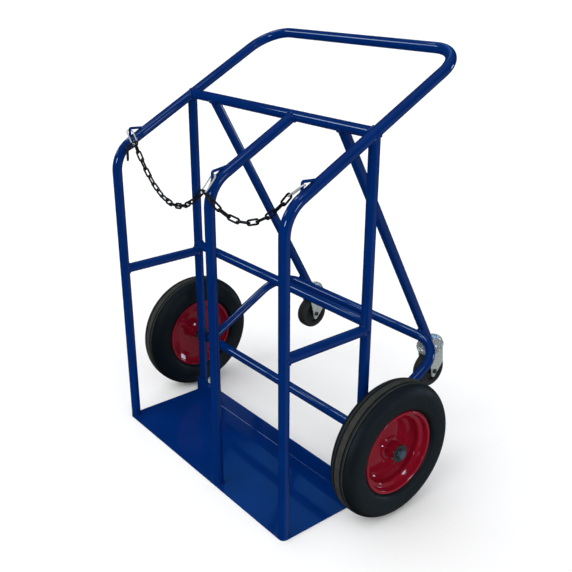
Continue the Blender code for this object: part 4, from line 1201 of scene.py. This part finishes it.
def make_chain(side):
    """Show one hanging span of chain, link by link."""
    start = joint_at("chain_swing_" + side)
    end = start + joint_axis("chain_swing_" + side) * SPAN_CHORDS[side]
    count = LINK_COUNTS[side]
    points = chain_points(start, end, count)
    outer = hook_frame(side).col[0].xyz
    middle = hook_frame("middle")
    if side == "left":
        normals = outer, (middle.col[0] - middle.col[1]).xyz.normalized()
    else:
        normals = (middle.col[0] + middle.col[1]).xyz.normalized(), outer
    first_roll = link_roll(points[1] - points[0], normals[0])
    last_roll = link_roll(points[-1] - points[-2], normals[1])
    wanted = last_roll - first_roll - math.pi / 2 * (count - 1)
    twist = (wanted + math.pi / 2) % math.pi - math.pi / 2
    bm = bmesh.new()
    for index in range(count):
        roll = first_roll + index * (math.pi / 2 + twist / (count - 1))
        add_skin(bm, link_rings(points[index], points[index + 1], roll), True)
    piece("chain_links_" + side, bm, CHAIN_BLACK, "chain_span_" + side, ["chain_" + side])


def make_loose_end():
    """Show the chain's loose end: a link beside the tube at the outer hook and one that hangs from it."""
    start = joint_at("chain_swing_left") - hook_frame("left").col[0].xyz * (2 * LINK_WIRE_R)
    bend = start + LOOSE_WAY.normalized() * LINK_PITCH
    low = bend + LOOSE_DROP.normalized() * LINK_PITCH
    bm = bmesh.new()
    add_skin(bm, link_rings(start, bend, link_roll(LOOSE_WAY, RIGHT)), True)
    add_skin(bm, link_rings(bend, low, link_roll(LOOSE_DROP, LOOSE_NORMAL)), True)
    piece("chain_loose_end", bm, CHAIN_BLACK, "frame")


# Toe plate
def make_toe_plate():
    """Paint the toe plate and soften its edges."""
    dress("toe_plate", PLATE_BLUE)
    plate = NODES["toe_plate"]
    soft = plate.modifiers.new("soft_edges", "BEVEL")
    soft.width = PLATE_BEVEL
    soft.segments = PLATE_BEVEL_STEPS
    soft.limit_method = "ANGLE"
    soft.angle_limit = SMOOTH_ANGLE


# Stage, light and camera
def make_stage():
    """Make the pale floor, which gloss doesn't show and which lets the glow from below through."""
    bm = bmesh.new()
    bmesh.ops.create_grid(bm, x_segments=1, y_segments=1, size=FLOOR_HALF)
    finish, tree, shader, place = new_material("pale_floor")
    colour = mottled(tree, place, FLOOR_NOISE, FLOOR_DEEP, FLOOR_LIGHT)
    tree.links.new(colour, shader.inputs["Base Color"])
    shader.inputs["Roughness"].default_value = FLOOR_ROUGH
    shader.inputs["Specular IOR Level"].default_value = 0.0
    floor = new_object("floor", bm, finish)
    floor.visible_glossy = False
    floor.visible_shadow = False


def pointing(azimuth, height):
    """Return the unit vector towards an azimuth from the loading side and a height over the floor."""
    level = math.cos(height)
    return Vector((math.sin(azimuth) * level, -math.cos(azimuth) * level, math.sin(height)))


def make_sky():
    """Make a dim sky that is brightest overhead, with a plain pale backdrop in front of it."""
    world = bpy.data.worlds.new("studio")
    world.use_nodes = True
    tree = world.node_tree
    shader = tree.nodes["Background"]
    place = tree.nodes.new("ShaderNodeTexCoord").outputs["Generated"]
    split = tree.nodes.new("ShaderNodeSeparateXYZ")
    tree.links.new(place, split.inputs["Vector"])
    height = spread(tree, split.outputs["Z"], (-1.0, 1.0), 0.0, 1.0)
    colour = ramp(tree, height, SKY_STOPS)
    backdrop = tree.nodes.new("ShaderNodeMix")
    backdrop.data_type = "RGBA"
    seen = tree.nodes.new("ShaderNodeLightPath").outputs["Is Camera Ray"]
    tree.links.new(seen, backdrop.inputs["Factor"])
    tree.links.new(colour, backdrop.inputs["A"])
    backdrop.inputs["B"].default_value = (*BACKDROP, 1)
    tree.links.new(backdrop.outputs["Result"], shader.inputs["Color"])
    bpy.context.scene.world = world


def make_light():
    """Light the cart with a dim sky, wide soft lights that gloss hides and lamps that only gloss shows."""
    make_sky()
    for name, (azimuth, height, width, strength, colour) in LIGHTS.items():
        light = bpy.data.lights.new(name, "SUN")
        light.energy = strength
        light.angle = math.radians(width)
        if colour:
            light.color = colour
        way = pointing(math.radians(azimuth), math.radians(height))
        lamp = bpy.data.objects.new(name, light)
        lamp.rotation_euler = (-way).to_track_quat("-Z", "Y").to_euler()
        lamp.visible_glossy = colour is not None
        lamp.visible_diffuse = colour is None
        bpy.context.scene.collection.objects.link(lamp)
    bpy.context.scene.view_settings.view_transform = "Standard"


def make_camera():
    """Place the camera as the photograph had it."""
    data = bpy.data.cameras.new("photo_camera")
    data.sensor_width = SENSOR_MM
    data.lens = FOCAL_PX / IMAGE_PX * SENSOR_MM
    data.shift_x = (IMAGE_PX / 2 - CENTRE_PX[0]) / IMAGE_PX
    data.shift_y = (CENTRE_PX[1] - IMAGE_PX / 2) / IMAGE_PX
    back = pointing(CAMERA_AZIMUTH, CAMERA_ELEVATION)
    right = UP.cross(back).normalized()
    axes = Matrix((right, back.cross(right), back)).transposed().to_4x4()
    camera = bpy.data.objects.new("photo_camera", data)
    camera.matrix_world = Matrix.Translation(CAMERA_AT) @ axes @ Matrix.Rotation(CAMERA_ROLL, 4, "Z")
    bpy.context.scene.collection.objects.link(camera)
    bpy.context.scene.camera = camera


make_camera()
make_tubes()
make_welds()
make_eyes()
make_toe_plate()
dress("axle", STEEL)
for side, sign in (("left", -1), ("right", 1)):
    make_wheel(side, sign)
    make_castor(side)
    make_chain(side)
for name in ("left", "middle", "right"):
    make_hook(name)
make_loose_end()
make_stage()
make_light()
